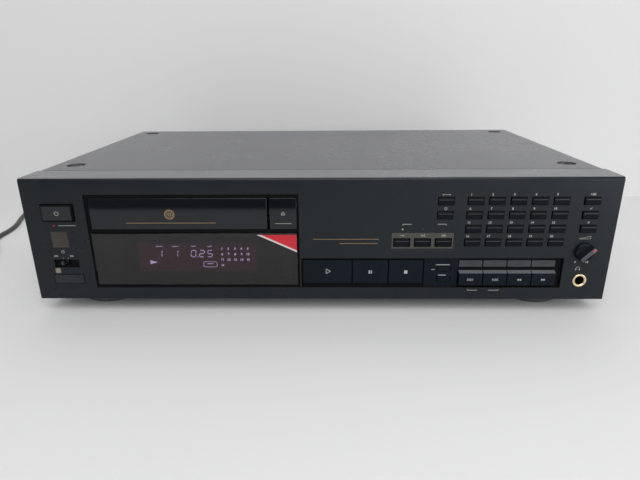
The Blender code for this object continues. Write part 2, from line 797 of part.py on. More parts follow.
def function_height():
    """Height of the middle of the upper, slim function keys."""
    return strip_low() + STRIP_KEY_HEIGHT - FUNCTION_HEIGHT / 2


def program_places():
    """Middle of the two small keys on the blank plate, upper one first."""
    left, width = strip_places()["blank"]
    x = left + width - PROGRAM_KEY_FROM_RIGHT
    top = strip_low() + STRIP_KEY_HEIGHT - PROGRAM_KEY_FROM_TOP
    return [(x, top), (x, top - PROGRAM_KEY_PITCH)]


def make_strip_keys(materials, datum):
    """Play, pause, stop, the two small keys and the upper and lower columns of keys."""
    places = strip_places()
    middle = strip_low() + STRIP_KEY_HEIGHT / 2
    for name in ("play", "pause", "stop"):
        left, width = places[name]
        x = left + width / 2
        shapes = key_shapes(x, middle, width, STRIP_KEY_HEIGHT, STRIP_KEY_SETBACK, 0, 0)
        made = unite(*shapes)
        place(made, f"{name}_key", materials["key_black"], (x, 0, middle), datum)
    for name, (x, z) in zip(("check_key", "clear_key"), program_places()):
        shapes = key_shapes(
            x, z, PROGRAM_KEY_WIDTH, PROGRAM_KEY_HEIGHT, STRIP_KEY_SETBACK - TOUCH
        )
        made = unite(*shapes)
        place(made, name, materials["key_black"], (x, 0, z), datum)
    make_column_keys(materials, datum)


def make_column_keys(materials, datum):
    """Four slim keys above four taller ones whose upper edge slopes back."""
    places = strip_places()
    left, width = places["column_1"]
    x = left + width / 2
    z = function_height()
    upper = unite(*key_shapes(x, z, width, FUNCTION_HEIGHT, STRIP_KEY_SETBACK, 0, 0))
    upper = place(upper, "function_key_1", materials["key_grey"], (x, 0, z), datum)
    low = strip_low()
    top = low + SKIP_HEIGHT
    outline = [
        (-SKIP_PROUD, low),
        (FLANGE_DEPTH + KEY_FLANGE / 2, low),
        (FLANGE_DEPTH + KEY_FLANGE / 2, top),
        (STRIP_KEY_SETBACK, top),
        (-SKIP_PROUD, top - SKIP_SLOPE_HEIGHT),
    ]
    cap = prism(outline, left, left + width, 0)
    z = (low + top) / 2
    spare, flange, stem = key_shapes(x, z, width, SKIP_HEIGHT, 0, 0, 0)
    bpy.data.objects.remove(spare, do_unlink=True)
    lower = unite(cap, flange, stem)
    lower = place(lower, "skip_key_1", materials["key_grey"], (x, 0, z), datum)
    for i in range(1, FUNCTION_COUNT):
        shift = (places[f"column_{i + 1}"][0] - left, 0, 0)
        copy_of(upper, f"function_key_{i + 1}", shift)
        copy_of(lower, f"skip_key_{i + 1}", shift)


def open_key_middle():
    """Middle of the key beside the tray door."""
    x = DOOR_RIGHT + OPEN_KEY_GAP + OPEN_KEY_WIDTH / 2
    return x, DOOR_BOTTOM + DOOR_HEIGHT / 2


def make_open_key(materials, datum):
    """The key beside the tray door, as tall as the door."""
    x, z = open_key_middle()
    shapes = key_shapes(x, z, OPEN_KEY_WIDTH, DOOR_HEIGHT, DOOR_SETBACK, 0, 0)
    place(unite(*shapes), "open_close_key", materials["gloss_black"], (x, 0, z), datum)


def power_height():
    """Height of the middle of the power button."""
    return PANEL_HEIGHT - POWER_FROM_TOP


def make_power_button(materials, datum):
    """The latching power button."""
    x, z = LEFT_COLUMN_X, power_height()
    cap = block(
        (x - POWER_WIDTH / 2, -POWER_PROUD, z - POWER_HEIGHT / 2),
        (x + POWER_WIDTH / 2, FLANGE_DEPTH + KEY_FLANGE / 2, z + POWER_HEIGHT / 2),
        edge=KEY_EDGE,
    )
    flange = block(
        (x - POWER_WIDTH / 2, FLANGE_DEPTH, z - POWER_HEIGHT / 2 - KEY_FLANGE_LIP),
        (x + POWER_WIDTH / 2, FLANGE_DEPTH + KEY_FLANGE, z + POWER_HEIGHT / 2 + KEY_FLANGE_LIP),
    )
    place(unite(cap, flange), "power_button", materials["key_black"], (x, 0, z), datum)


def timer_knob_x():
    """Middle of the timer slider's knob at its left stop."""
    return LEFT_COLUMN_X - TIMER_TRAVEL / 2 - TIMER_KNOB_WIDTH / 2


def make_timer_slider(materials, datum):
    """The small slide switch: a knob in its slot and a plate behind the panel."""
    x = timer_knob_x()
    z = TIMER_HEIGHT
    knob = block(
        (x - TIMER_KNOB_WIDTH / 2, 0, z - TIMER_KNOB_HEIGHT / 2),
        (x + TIMER_KNOB_WIDTH / 2, FLANGE_DEPTH + KEY_FLANGE / 2, z + TIMER_KNOB_HEIGHT / 2),
        edge=KEY_EDGE,
    )
    reach = TIMER_KNOB_WIDTH / 2 + TIMER_PLATE_LIP
    plate = block(
        (x - reach, FLANGE_DEPTH, z - TIMER_KNOB_HEIGHT / 2 - TIMER_PLATE_LIP),
        (x + reach, FLANGE_DEPTH + KEY_FLANGE, z + TIMER_KNOB_HEIGHT / 2 + TIMER_PLATE_LIP),
    )
    place(unite(knob, plate), "timer_slider", materials["grey_plastic"], (x, 0, z), datum)


# Front panel

def through(x, z, width, height):
    """A cutter for a square hole through the face wall, a gap wider than its key all round."""
    return block(
        (x - width / 2 - KEY_GAP, -OVERRUN, z - height / 2 - KEY_GAP),
        (x + width / 2 + KEY_GAP, FACE_WALL + OVERRUN, z + height / 2 + KEY_GAP),
    )


def pocket(left, right, low, high, depth):
    """A cutter for a shallow pocket in the face."""
    return block((left, -OVERRUN, low), (right, depth, high))


def board_bosses():
    """Where the front board is held: free spots of the panel, as (x, height)."""
    inner = PANEL_WALL + BOARD_MARGIN + BOSS_RADIUS
    return [
        (-HALF_WIDTH + inner, (power_height() + TIMER_HEIGHT) / 2),
        (BAY_RIGHT + inner, PAD_TOP_ROW),
        (BAY_RIGHT + inner, (STRIP_TOP + pad_row(PAD_ROWS - 1)) / 2),
        (PAD_LAST_X, (STRIP_TOP + pad_row(PAD_ROWS - 1) - PAD_KEY_HEIGHT / 2) / 2),
        ((PAD_LAST_X + SIDE_X) / 2, PAD_TOP_ROW),
    ]


def make_front_panel(materials, datum):
    """The moulded front, open at the back, with a hole for each control."""
    panel = block((-HALF_WIDTH, 0, 0), (HALF_WIDTH, PANEL_DEPTH, PANEL_HEIGHT))
    round_front_edge(panel)
    hollow = block(
        (-PANEL_INNER, FACE_WALL, PANEL_WALL),
        (PANEL_INNER, PANEL_DEPTH + OVERRUN, PANEL_HEIGHT - PANEL_WALL),
    )
    cut(panel, hollow)
    bosses = [
        cylinder(BOSS_RADIUS, FACE_WALL - TOUCH, BOARD_DEPTH - TOUCH, (x, 0, z), 1, 12)
        for x, z in board_bosses()
    ]
    unite(panel, *bosses)
    cut(panel, *bay_cutters(), *strip_cutters(), *pad_cutters(), *other_cutters())
    place(panel, "front_panel", materials["satin_black"], (0, 0, 0), datum)


def round_front_edge(panel):
    """Rounds the panel's upper front edge and its two upper front corners."""
    bm = bmesh.new()
    bm.from_mesh(panel.data)
    top = [
        e
        for e in bm.edges
        if all(v.co.y < PANEL_DEPTH / 2 and v.co.z > PANEL_HEIGHT / 2 for v in e.verts)
    ]
    bmesh.ops.bevel(bm, geom=top, offset=PANEL_ROUND, segments=3, affect="EDGES", profile=0.5)
    bm.to_mesh(panel.data)
    bm.free()


def bay_cutters():
    """The bay that frames the door and the window, the way through and the window's seat."""
    window_left = BAY_LEFT + WINDOW_SIDE
    window_right = BAY_RIGHT - WINDOW_SIDE
    seat = WINDOW_SETBACK + WINDOW_THICKNESS + TOUCH
    opening = block(
        (DOOR_LEFT - RUNNING, -OVERRUN, DOOR_BOTTOM - RUNNING),
        (
            DOOR_RIGHT + OPEN_KEY_GAP + OPEN_KEY_WIDTH + RUNNING,
            FACE_WALL + OVERRUN,
            DOOR_TOP + RUNNING,
        ),
    )
    window_seat = block(
        (window_left - TOUCH, -OVERRUN, WINDOW_BOTTOM - TOUCH),
        (window_right + TOUCH, seat, WINDOW_BOTTOM + WINDOW_HEIGHT + TOUCH),
    )
    view = block(
        (window_left + WINDOW_LEDGE, -OVERRUN, WINDOW_BOTTOM + WINDOW_LEDGE),
        (
            window_right - WINDOW_LEDGE,
            FACE_WALL + OVERRUN,
            WINDOW_BOTTOM + WINDOW_HEIGHT - WINDOW_LEDGE,
        ),
    )
    return [pocket(BAY_LEFT, BAY_RIGHT, LOWER_BAND, BAY_TOP, BAY_DEPTH), opening, window_seat, view]


def strip_cutters():
    """The strip's pocket, which leaves the blank plate standing, and the holes in it."""
    places = strip_places()
    low = strip_low()
    top = low + STRIP_KEY_HEIGHT
    blank_left, blank_width = places["blank"]
    blank_right = blank_left + blank_width
    cutters = [
        pocket(STRIP_LEFT, STRIP_RIGHT, STRIP_FROM_BOTTOM, STRIP_TOP, STRIP_KEY_SETBACK),
        pocket(STRIP_LEFT, blank_left, STRIP_FROM_BOTTOM, STRIP_TOP, STRIP_POCKET),
        pocket(blank_right, STRIP_RIGHT, STRIP_FROM_BOTTOM, STRIP_TOP, STRIP_POCKET),
    ]
    first = places["play"][0]
    last = places["stop"][0] + places["stop"][1]
    cutters.append(span_cutter(first, last, low, top))
    first = places["column_1"][0]
    last_left, last_width = places[f"column_{FUNCTION_COUNT}"]
    last = last_left + last_width
    cutters.append(span_cutter(first, last, low, low + SKIP_HEIGHT))
    cutters.append(span_cutter(first, last, top - FUNCTION_HEIGHT, top))
    for x, z in program_places():
        cutters.append(through(x, z, PROGRAM_KEY_WIDTH, PROGRAM_KEY_HEIGHT))
    return cutters


def span_cutter(left, right, low, high):
    """A cutter through the face wall for a run of keys."""
    return through((left + right) / 2, (low + high) / 2, right - left, high - low)


def pad_cutters():
    """A hole for each key of the pad, and the shallow pocket behind the mode keys."""
    cutters = []
    for row in range(PAD_ROWS):
        for column in range(PAD_COLUMNS):
            x, z = pad_column(column), pad_row(row)
            cutters.append(through(x, z, PAD_KEY_WIDTH, PAD_KEY_HEIGHT))
    for _, x, z in key_table():
        cutters.append(through(x, z, PAD_KEY_WIDTH, PAD_KEY_HEIGHT))
    left, right, low, high = mode_plate()
    cutters.append(pocket(left, right, low, high, MODE_PLATE_DEPTH))
    return cutters


def mode_plate():
    """Edges of the plate round the three mode keys: left, right, low, high."""
    row = pad_row(PAD_ROWS - 1)
    margin = KEY_GAP + MODE_PLATE_MARGIN
    left = SETTING_X - 2 * PAD_COLUMN_PITCH - PAD_KEY_WIDTH / 2 - margin
    right = SETTING_X + PAD_KEY_WIDTH / 2 + margin
    reach = PAD_KEY_HEIGHT / 2 + 2 * margin
    return left, right, row - reach, row + reach


def other_cutters():
    """Holes for the power button, the timer slider, the knob's shaft and the jack."""
    x, z = LEFT_COLUMN_X, power_height()
    cutters = [through(x, z, POWER_WIDTH, POWER_HEIGHT)]
    half = TIMER_SLOT_WIDTH / 2
    low = TIMER_HEIGHT - TIMER_SLOT_HEIGHT / 2
    high = TIMER_HEIGHT + TIMER_SLOT_HEIGHT / 2
    cutters.append(pocket(x - half, x + half, low, high, TIMER_SLOT_DEPTH))
    knob = timer_knob_x()
    cutters.append(
        through(
            knob + TIMER_TRAVEL / 2,
            TIMER_HEIGHT,
            TIMER_KNOB_WIDTH + TIMER_TRAVEL,
            TIMER_KNOB_HEIGHT,
        )
    )
    cutters.append(
        pocket(
            x - SENSOR_WIDTH / 2,
            x + SENSOR_WIDTH / 2,
            SENSOR_FROM_BOTTOM,
            SENSOR_FROM_BOTTOM + SENSOR_HEIGHT,
            SENSOR_DEPTH,
        )
    )
    reach = FACE_WALL + OVERRUN
    cutters.append(
        cylinder(KNOB_SHAFT_RADIUS + RUNNING, -OVERRUN, reach, (SIDE_X, 0, KNOB_HEIGHT), 1)
    )
    cutters.append(
        cylinder(JACK_BARREL_RADIUS + TOUCH, -OVERRUN, reach, (SIDE_X, 0, JACK_HEIGHT), 1)
    )
    return cutters


def make_window(materials, datum):
    """The smoky window in front of the display."""
    pane = block(
        (BAY_LEFT + WINDOW_SIDE, WINDOW_SETBACK, WINDOW_BOTTOM),
        (
            BAY_RIGHT - WINDOW_SIDE,
            WINDOW_SETBACK + WINDOW_THICKNESS,
            WINDOW_BOTTOM + WINDOW_HEIGHT,
        ),
        edge=WINDOW_EDGE,
    )
    origin = ((BAY_LEFT + BAY_RIGHT) / 2, WINDOW_SETBACK, WINDOW_BOTTOM)
    place(pane, "display_window", materials["smoke_window"], origin, datum)


def board_outline():
    """The front board's outline: stepped round the tray and the headphone jack."""
    left = -PANEL_INNER + BOARD_MARGIN
    right = PANEL_INNER - BOARD_MARGIN
    low = PANEL_WALL + BOARD_MARGIN
    high = PANEL_HEIGHT - PANEL_WALL - BOARD_MARGIN
    tray_low = DOOR_BOTTOM - BOARD_MARGIN
    tray_left = TRAY_X - FRAME_HALF - TOUCH
    tray_right = DOOR_RIGHT + OPEN_KEY_GAP
    jack_left = SIDE_X - JACK_BODY / 2 - BOARD_MARGIN / 2
    jack_high = JACK_HEIGHT + JACK_BODY / 2 + BOARD_MARGIN / 2
    return [
        (left, low),
        (jack_left, low),
        (jack_left, jack_high),
        (right, jack_high),
        (right, high),
        (tray_right, high),
        (tray_right, tray_low),
        (tray_left, tray_low),
        (tray_left, high),
        (left, high),
    ]


def switch_places():
    """Middle of every small press switch on the front board."""
    spots = [(x, z) for _, x, z in key_table()]
    spots += [(pad_column(c), pad_row(r)) for r in range(PAD_ROWS) for c in range(PAD_COLUMNS)]
    spots += program_places()
    spots.append(open_key_middle())
    places = strip_places()
    middle = strip_low() + STRIP_KEY_HEIGHT / 2
    for name in ("play", "pause", "stop"):
        left, width = places[name]
        spots.append((left + width / 2, middle))
    for i in range(FUNCTION_COUNT):
        left, width = places[f"column_{i + 1}"]
        spots.append((left + width / 2, function_height()))
        spots.append((left + width / 2, strip_low() + SKIP_HEIGHT / 2))
    return spots


def make_front_board(materials, datum):
    """The board behind the front with its switches, display tube and level control."""
    board = prism(board_outline(), BOARD_DEPTH, BOARD_DEPTH + BOARD_THICKNESS, 1)
    sunk = BOARD_DEPTH + BOARD_THICKNESS / 2
    half = min(SWITCH_SIZE, PROGRAM_KEY_PITCH - 2 * TOUCH) / 2
    parts = [
        block((x - half, SWITCH_DEPTH, z - half), (x + half, sunk, z + half))
        for x, z in switch_places()
    ]
    power_front = FLANGE_DEPTH + KEY_FLANGE + POWER_TRAVEL + TOUCH
    for x, z, front in (
        (LEFT_COLUMN_X, power_height(), power_front),
        (LEFT_COLUMN_X, TIMER_HEIGHT, FLANGE_DEPTH + KEY_FLANGE + TOUCH),
        (SIDE_X, KNOB_HEIGHT, SWITCH_DEPTH),
    ):
        low = (x - SWITCH_SIZE, front, z - SWITCH_SIZE)
        high = (x + SWITCH_SIZE, sunk, z + SWITCH_SIZE)
        parts.append(block(low, high))
    tube_x = BAY_LEFT + BAY_WIDTH * TUBE_CENTRE_SHARE
    tube_z = WINDOW_BOTTOM + WINDOW_HEIGHT / 2
    parts.append(
        block(
            (tube_x - TUBE_WIDTH / 2, BOARD_DEPTH - TUBE_THICKNESS, tube_z - TUBE_HEIGHT / 2),
            (tube_x + TUBE_WIDTH / 2, sunk, tube_z + TUBE_HEIGHT / 2),
        )
    )
    unite(board, *parts)
    place(board, "front_board", materials["circuit_board"], (0, BOARD_DEPTH, 0), datum)


def make_level_knob(materials, datum):
    """The level knob: a round skirt, a bar grip that points and a shaft to its control."""
    centre = (SIDE_X, 0, KNOB_HEIGHT)
    back = -KNOB_STANDOFF
    skirt = cylinder(KNOB_RADIUS, back - KNOB_SKIRT, back, centre, 1)
    shaft = cylinder(KNOB_SHAFT_RADIUS, back - TOUCH, SWITCH_DEPTH - TOUCH, centre, 1, 16)
    wide = KNOB_GRIP_WIDTH / 2
    narrow = KNOB_GRIP_TOP_WIDTH / 2
    foot = back - KNOB_SKIRT / 2
    outline = [(-wide, foot), (wide, foot), (narrow, -KNOB_FRONT), (-narrow, -KNOB_FRONT)]
    length = KNOB_RADIUS - TOUCH
    grip = prism(outline, -length, length, 2)
    turn = Matrix.Rotation(math.radians(KNOB_POINTER_DEG), 4, "Y")
    grip.data.transform(Matrix.Translation(Vector(centre)) @ turn)
    knob = unite(skirt, shaft, grip)
    place(knob, "level_knob", materials["key_black"], centre, datum)


def make_headphone_jack(materials, datum):
    """The headphone jack: a ring on the face, a barrel through it and a body behind."""
    centre = (SIDE_X, 0, JACK_HEIGHT)
    profile = [
        (0, -JACK_RING_PROUD),
        (JACK_RING_RADIUS, -JACK_RING_PROUD),
        (JACK_RING_RADIUS, -TOUCH),
        (JACK_BARREL_RADIUS, -TOUCH),
        (JACK_BARREL_RADIUS, FLANGE_DEPTH + TOUCH),
        (0, FLANGE_DEPTH + TOUCH),
    ]
    barrel = turned(profile, centre, 1)
    half = JACK_BODY / 2
    body = block(
        (SIDE_X - half, FLANGE_DEPTH, JACK_HEIGHT - half),
        (SIDE_X + half, FLANGE_DEPTH + JACK_BODY_REACH, JACK_HEIGHT + half),
    )
    jack = unite(body, barrel)
    end = FLANGE_DEPTH + JACK_BODY_REACH - JACK_BACK_WALL
    cut(jack, cylinder(JACK_BORE_RADIUS, -JACK_RING_PROUD - OVERRUN, end, centre, 1))
    place(jack, "headphone_jack", materials["gold"], centre, datum)


# Case

def make_cover(materials, datum):
    """The folded steel cover: top and sides, with four dished screw seats."""
    cover = block((-COVER_HALF, COVER_FRONT, 0), (COVER_HALF, CASE_DEPTH, PANEL_HEIGHT))
    inside = COVER_HALF - SHEET
    hollow = block(
        (-inside, COVER_FRONT - OVERRUN, -OVERRUN),
        (inside, CASE_DEPTH + OVERRUN, PANEL_HEIGHT - SHEET),
    )
    cut(cover, hollow)
    seats = []
    cups = []
    for x, depth in cup_places():
        centre = (x, depth, 0)
        low = PANEL_HEIGHT - CUP_DEPTH
        outer = CUP_RADIUS + SHEET
        seats.append(cylinder(outer, low - SHEET, PANEL_HEIGHT - SHEET / 2, centre, 2))
        cups.append(cup_cutter(centre, low))
    unite(cover, *seats)
    cut(cover, *cups)
    place(cover, "top_cover", materials["cover_paint"], (0, COVER_FRONT, PANEL_HEIGHT), datum)


def cup_cutter(centre, low):
    """The round hollow of a screw seat, which leaves the screw's head standing in it."""
    head = low + SCREW_HEAD_HEIGHT
    profile = [
        (0, head),
        (SCREW_HEAD_RADIUS, head),
        (SCREW_HEAD_RADIUS, low),
        (CUP_RADIUS, low),
        (CUP_RADIUS, PANEL_HEIGHT + OVERRUN),
        (0, PANEL_HEIGHT + OVERRUN),
    ]
    return turned(profile, centre, 2)


def cup_places():
    """Middle of the four screw seats in the cover."""
    x = HALF_WIDTH - CUP_FROM_SIDE
    return [(sx * x, d) for d in (CUP_FROM_FRONT, CASE_DEPTH - CUP_FROM_REAR) for sx in (-1, 1)]


def make_chassis(materials, datum):
    """The steel pan that carries everything, with standoffs for the main board."""
    rear = CASE_DEPTH - SHEET - TOUCH
    pan = block((-CHASSIS_HALF, COVER_FRONT, 0), (CHASSIS_HALF, rear, CHASSIS_WALL))
    hollow = block(
        (-CHASSIS_HALF + SHEET, COVER_FRONT + SHEET, SHEET),
        (CHASSIS_HALF - SHEET, rear - SHEET, CHASSIS_WALL + OVERRUN),
    )
    cut(pan, hollow)
    left, right, front, back = main_board_edges()
    inset = 2 * STANDOFF_RADIUS
    posts = [
        cylinder(STANDOFF_RADIUS, SHEET / 2, SHEET + STANDOFF_HEIGHT, (x, y, 0), 2, 12)
        for x in (left + inset, right - inset)
        for y in (front + inset, back - inset)
    ]
    unite(pan, *posts)
    place(pan, "chassis", materials["zinc_steel"], (0, COVER_FRONT, 0), datum)


def make_rear_panel(materials, datum):
    """The back plate with holes for the line sockets and the mains lead."""
    high = PANEL_HEIGHT - SHEET - TOUCH
    front = CASE_DEPTH - SHEET
    plate = block((-CHASSIS_HALF, front, 0), (CHASSIS_HALF, CASE_DEPTH, high))
    z = outlet_height()
    holes = [
        cylinder(OUTLET_RADIUS + TOUCH, front - OVERRUN, CASE_DEPTH + OVERRUN, (x, 0, z), 1)
        for x in outlet_places()
    ]
    centre = (CORD_EXIT_X, 0, CORD_EXIT_HEIGHT)
    holes.append(
        cylinder(RELIEF_NECK_RADIUS + TOUCH, front - OVERRUN, CASE_DEPTH + OVERRUN, centre, 1)
    )
    cut(plate, *holes)
    place(plate, "rear_panel", materials["satin_black"], (0, front, 0), datum)


def make_feet(materials, datum):
    """Four round feet: a rim, a waisted side and a flat sole."""
    sole = -FOOT_HEIGHT
    profile = [
        (0, sole),
        (FOOT_SOLE_RADIUS, sole),
        (FOOT_RADIUS, sole + FOOT_RIM / 2),
        (FOOT_RADIUS, sole + FOOT_RIM),
        (FOOT_NECK_RADIUS, sole + FOOT_RIM * 1.5),
        (FOOT_NECK_RADIUS, -TOUCH),
        (0, -TOUCH),
    ]
    x = HALF_WIDTH - FOOT_FROM_SIDE
    front = FOOT_SETBACK + FOOT_RADIUS
    rear = CASE_DEPTH - front
    centre = (-x, front, 0)
    foot = turned(profile, centre, 2)
    place(foot, "foot_front_left", materials["foot_plastic"], centre, datum)
    copy_of(foot, "foot_front_right", (2 * x, 0, 0))
    copy_of(foot, "foot_rear_left", (0, rear - front, 0))
    copy_of(foot, "foot_rear_right", (2 * x, rear - front, 0))


# Tray and transport

def make_tray(materials, datum):
    """The sliding tray: disc recesses, a slot open to the back, guide ribs and a rack."""
    tray = block(
        (TRAY_X - TRAY_HALF, TRAY_FRONT, TRAY_BOTTOM), (TRAY_X + TRAY_HALF, TRAY_REAR, TRAY_TOP)
    )
    ribs = []
    for sign in (-1, 1):
        low, high = ordered(TRAY_X, sign, TRAY_HALF - TRAY_RIM, RIB_HALF)
        top = TRAY_BOTTOM + TRAY_RIB_HEIGHT
        ribs.append(block((low, FRAME_FRONT, TRAY_BOTTOM), (high, TRAY_REAR, top)))
    rack = prism(rack_outline(), TRAY_BOTTOM - RACK_HEIGHT, TRAY_BOTTOM + TRAY_RIB_HEIGHT / 2, 2)
    unite(tray, rack, *ribs)
    centre = (TRAY_X, DISC_DEPTH, 0)
    floor = TRAY_TOP - DISC_RECESS_DEPTH
    above = TRAY_TOP + OVERRUN
    steps = 2 * ROUND_STEPS
    wide = cylinder(DISC_RECESS_RADIUS, floor, above, centre, 2, steps)
    small = cylinder(SMALL_RECESS_RADIUS, floor - SMALL_RECESS_DEPTH, above, centre, 2, steps)
    half = TRAY_SLOT_WIDTH / 2
    slot = block(
        (TRAY_X - half, DISC_DEPTH - TRAY_SLOT_LEAD, TRAY_BOTTOM - OVERRUN),
        (TRAY_X + half, TRAY_REAR + OVERRUN, above),
    )
    cut(tray, wide, small, slot)
    place(tray, "disc_tray", materials["tray_plastic"], (TRAY_X, TRAY_FRONT, TRAY_BOTTOM), datum)


def rack_outline():
    """The rack in (x, depth): trapezoid teeth towards -X on a straight back.

    A space of the rack stands at the gear's depth, where the gear holds a tooth.
    """
    pitch = math.pi * GEAR_MODULE
    line = TRAY_X + RACK_OFFSET
    tip = line - GEAR_MODULE
    root = line + GEAR_MODULE * GEAR_DEDENDUM_SHARE
    slope = math.tan(math.radians(GEAR_PRESSURE_DEG))
    half = (pitch / 2 - GEAR_BACKLASH) / 2
    tip_half = half - GEAR_MODULE * slope
    root_half = half + GEAR_MODULE * GEAR_DEDENDUM_SHARE * slope
    before = 2
    after = math.ceil(TRAY_TRAVEL / pitch) + before
    points = []
    for i in range(-before, after):
        middle = GEAR_DEPTH + (i + 0.5) * pitch
        points += [
            (root, middle - root_half),
            (tip, middle - tip_half),
            (tip, middle + tip_half),
            (root, middle + root_half),
        ]
    back = root + RACK_BODY
    return points + [(back, points[-1][1]), (back, points[0][1])]


def make_tray_door(materials, datum):
    """The door on the tray's front."""
    door = block(
        (DOOR_LEFT, DOOR_SETBACK, DOOR_BOTTOM),
        (DOOR_RIGHT, DOOR_SETBACK + DOOR_THICKNESS, DOOR_TOP),
        edge=DOOR_EDGE,
    )
    place(door, "tray_door", materials["gloss_black"], (TRAY_X, DOOR_SETBACK, DOOR_BOTTOM), datum)


def make_transport_frame(materials, datum):
    """The frame: two walls with tray guides, a floor, a back stop and hinge blocks."""
    leg_front = COVER_FRONT + SHEET + FRAME_LEG_SETBACK
    side = [
        (FRAME_FRONT, FRAME_FLOOR),
        (leg_front, FRAME_FLOOR),
        (leg_front, CHASSIS_TOP),
        (FRAME_REAR, CHASSIS_TOP),
        (FRAME_REAR, FRAME_TOP),
        (FRAME_FRONT, FRAME_TOP),
    ]
    floor = block(
        (TRAY_X - FRAME_INNER - FRAME_WALL / 2, FRAME_FRONT, FRAME_FLOOR),
        (TRAY_X + FRAME_INNER + FRAME_WALL / 2, FRAME_REAR - FRAME_WALL / 2, FRAME_FLOOR_TOP),
    )
    parts = [
        block(
            (TRAY_X - FRAME_INNER - FRAME_WALL / 2, FRAME_REAR - FRAME_WALL, FRAME_FLOOR),
            (TRAY_X + FRAME_INNER + FRAME_WALL / 2, FRAME_REAR, TRAY_BOTTOM),
        )
    ]
    reach = TRAY_HALF + RUNNING
    rib_low = TRAY_BOTTOM - TOUCH
    rib_high = TRAY_BOTTOM + TRAY_RIB_HEIGHT + TOUCH
    for sign in (-1, 1):
        parts.append(prism(side, *ordered(TRAY_X, sign, FRAME_INNER, FRAME_HALF), 0))
        low, high = ordered(TRAY_X, sign, reach, FRAME_INNER + FRAME_WALL / 2)
        rear = FRAME_REAR - FRAME_WALL / 2
        parts.append(block((low, FRAME_FRONT, rib_low - FRAME_LEDGE), (high, rear, rib_low)))
        parts.append(block((low, FRAME_FRONT, rib_high), (high, rear, rib_high + FRAME_LIP)))
        parts.append(hinge_block(sign))
    parts.append(
        cylinder(PIN_RADIUS, FRAME_FLOOR, GEAR_TOP - TOUCH, (GEAR_X, GEAR_DEPTH, 0), 2, 12)
    )
    unite(floor, *parts)
    half = FRAME_WINDOW_WIDTH / 2
    window = block(
        (TRAY_X - half, DISC_DEPTH - SPINDLE_RADIUS - SPINDLE_ROOM, FRAME_FLOOR - OVERRUN),
        (TRAY_X + half, HINGE_DEPTH - HINGE_BLOCK_LENGTH, FRAME_FLOOR_TOP + OVERRUN),
    )
    holes = [
        cylinder(
            MOTOR_BOSS_RADIUS + RUNNING,
            FRAME_FLOOR - OVERRUN,
            FRAME_FLOOR_TOP + OVERRUN,
            (MOTOR_X, GEAR_DEPTH, 0),
            2,
        )
    ]
    outer = TRAY_X + hinge_reach() + HINGE_BLOCK_WIDTH + OVERRUN
    holes.append(
        cylinder(
            HINGE_PIN_RADIUS + RUNNING,
            2 * TRAY_X - outer,
            outer,
            (0, HINGE_DEPTH, HINGE_HEIGHT),
            0,
            16,
        )
    )
    cut(floor, window, *holes)
    origin = (TRAY_X, FRAME_FRONT, FRAME_FLOOR)
    place(floor, "transport_frame", materials["tray_plastic"], origin, datum)


def ordered(middle, sign, near, far):
    """The lower and higher of two places on one side of a middle."""
    return sorted((middle + sign * near, middle + sign * far))


def hinge_reach():
    """How far the hinge blocks stand from the middle of the tray."""
    return BASE_WIDTH / 2 + HINGE_SIDE_GAP


def hinge_block(sign):
    """A bearing block for one hinge pin of the pickup unit."""
    low, high = ordered(TRAY_X, sign, hinge_reach(), hinge_reach() + HINGE_BLOCK_WIDTH)
    half = HINGE_BLOCK_LENGTH / 2
    return block(
        (low, HINGE_DEPTH - half, FRAME_FLOOR_TOP - TOUCH),
        (high, HINGE_DEPTH + half, HINGE_HEIGHT + half),
    )


def make_clamp(materials, datum):
    """The bridge over the tray and the round clamp that turns in it."""
    centre = (TRAY_X, DISC_DEPTH, 0)
    half = BRIDGE_LENGTH / 2
    bridge = block(
        (TRAY_X - FRAME_HALF, DISC_DEPTH - half, BRIDGE_BOTTOM),
        (TRAY_X + FRAME_HALF, DISC_DEPTH + half, BRIDGE_TOP),
    )
    hole = cylinder(
        PUCK_NECK_RADIUS + 2 * TOUCH, BRIDGE_BOTTOM - OVERRUN, BRIDGE_TOP + OVERRUN, centre, 2
    )
    cut(bridge, hole)
    origin = (TRAY_X, DISC_DEPTH, BRIDGE_BOTTOM)
    place(bridge, "clamp_bridge", materials["zinc_steel"], origin, datum)
    seat = BRIDGE_TOP + TOUCH
    profile = [
        (0, PUCK_BOTTOM + PUCK_RECESS_DEPTH),
        (PUCK_RECESS_RADIUS, PUCK_BOTTOM + PUCK_RECESS_DEPTH),
        (PUCK_RECESS_RADIUS, PUCK_BOTTOM),
        (PUCK_RADIUS, PUCK_BOTTOM),
        (PUCK_RADIUS, PUCK_BOTTOM + PUCK_PAD),
        (PUCK_NECK_RADIUS, PUCK_BOTTOM + PUCK_PAD),
        (PUCK_NECK_RADIUS, seat),
        (PUCK_RADIUS, seat),
        (PUCK_RADIUS, seat + PUCK_FLANGE),
        (0, seat + PUCK_FLANGE),
    ]
    origin = (TRAY_X, DISC_DEPTH, PUCK_BOTTOM)
    place(turned(profile, centre, 2), "clamp_puck", materials["white_plastic"], origin, datum)


def gear_outline(centre):
    """An outline of involute teeth in (x, depth), with a tooth centred towards +X."""
    base = GEAR_RADIUS * math.cos(math.radians(GEAR_PRESSURE_DEG))
    half = (math.pi * GEAR_MODULE / 2 - GEAR_BACKLASH) / 2 / GEAR_RADIUS
    start = involute(GEAR_RADIUS, base)
    radii = [
        GEAR_RADIUS - GEAR_MODULE * GEAR_DEDENDUM_SHARE,
        GEAR_RADIUS,
        GEAR_RADIUS + GEAR_MODULE,
    ]
    flank = [(r, half + start - involute(r, base)) for r in radii]
    points = []
    for i in range(GEAR_TEETH):
        middle = 2 * math.pi * i / GEAR_TEETH
        for radius, turn in flank:
            points.append((radius, middle - turn))
        for radius, turn in reversed(flank):
            points.append((radius, middle + turn))
    return [(centre[0] + r * math.cos(a), centre[1] + r * math.sin(a)) for r, a in points]


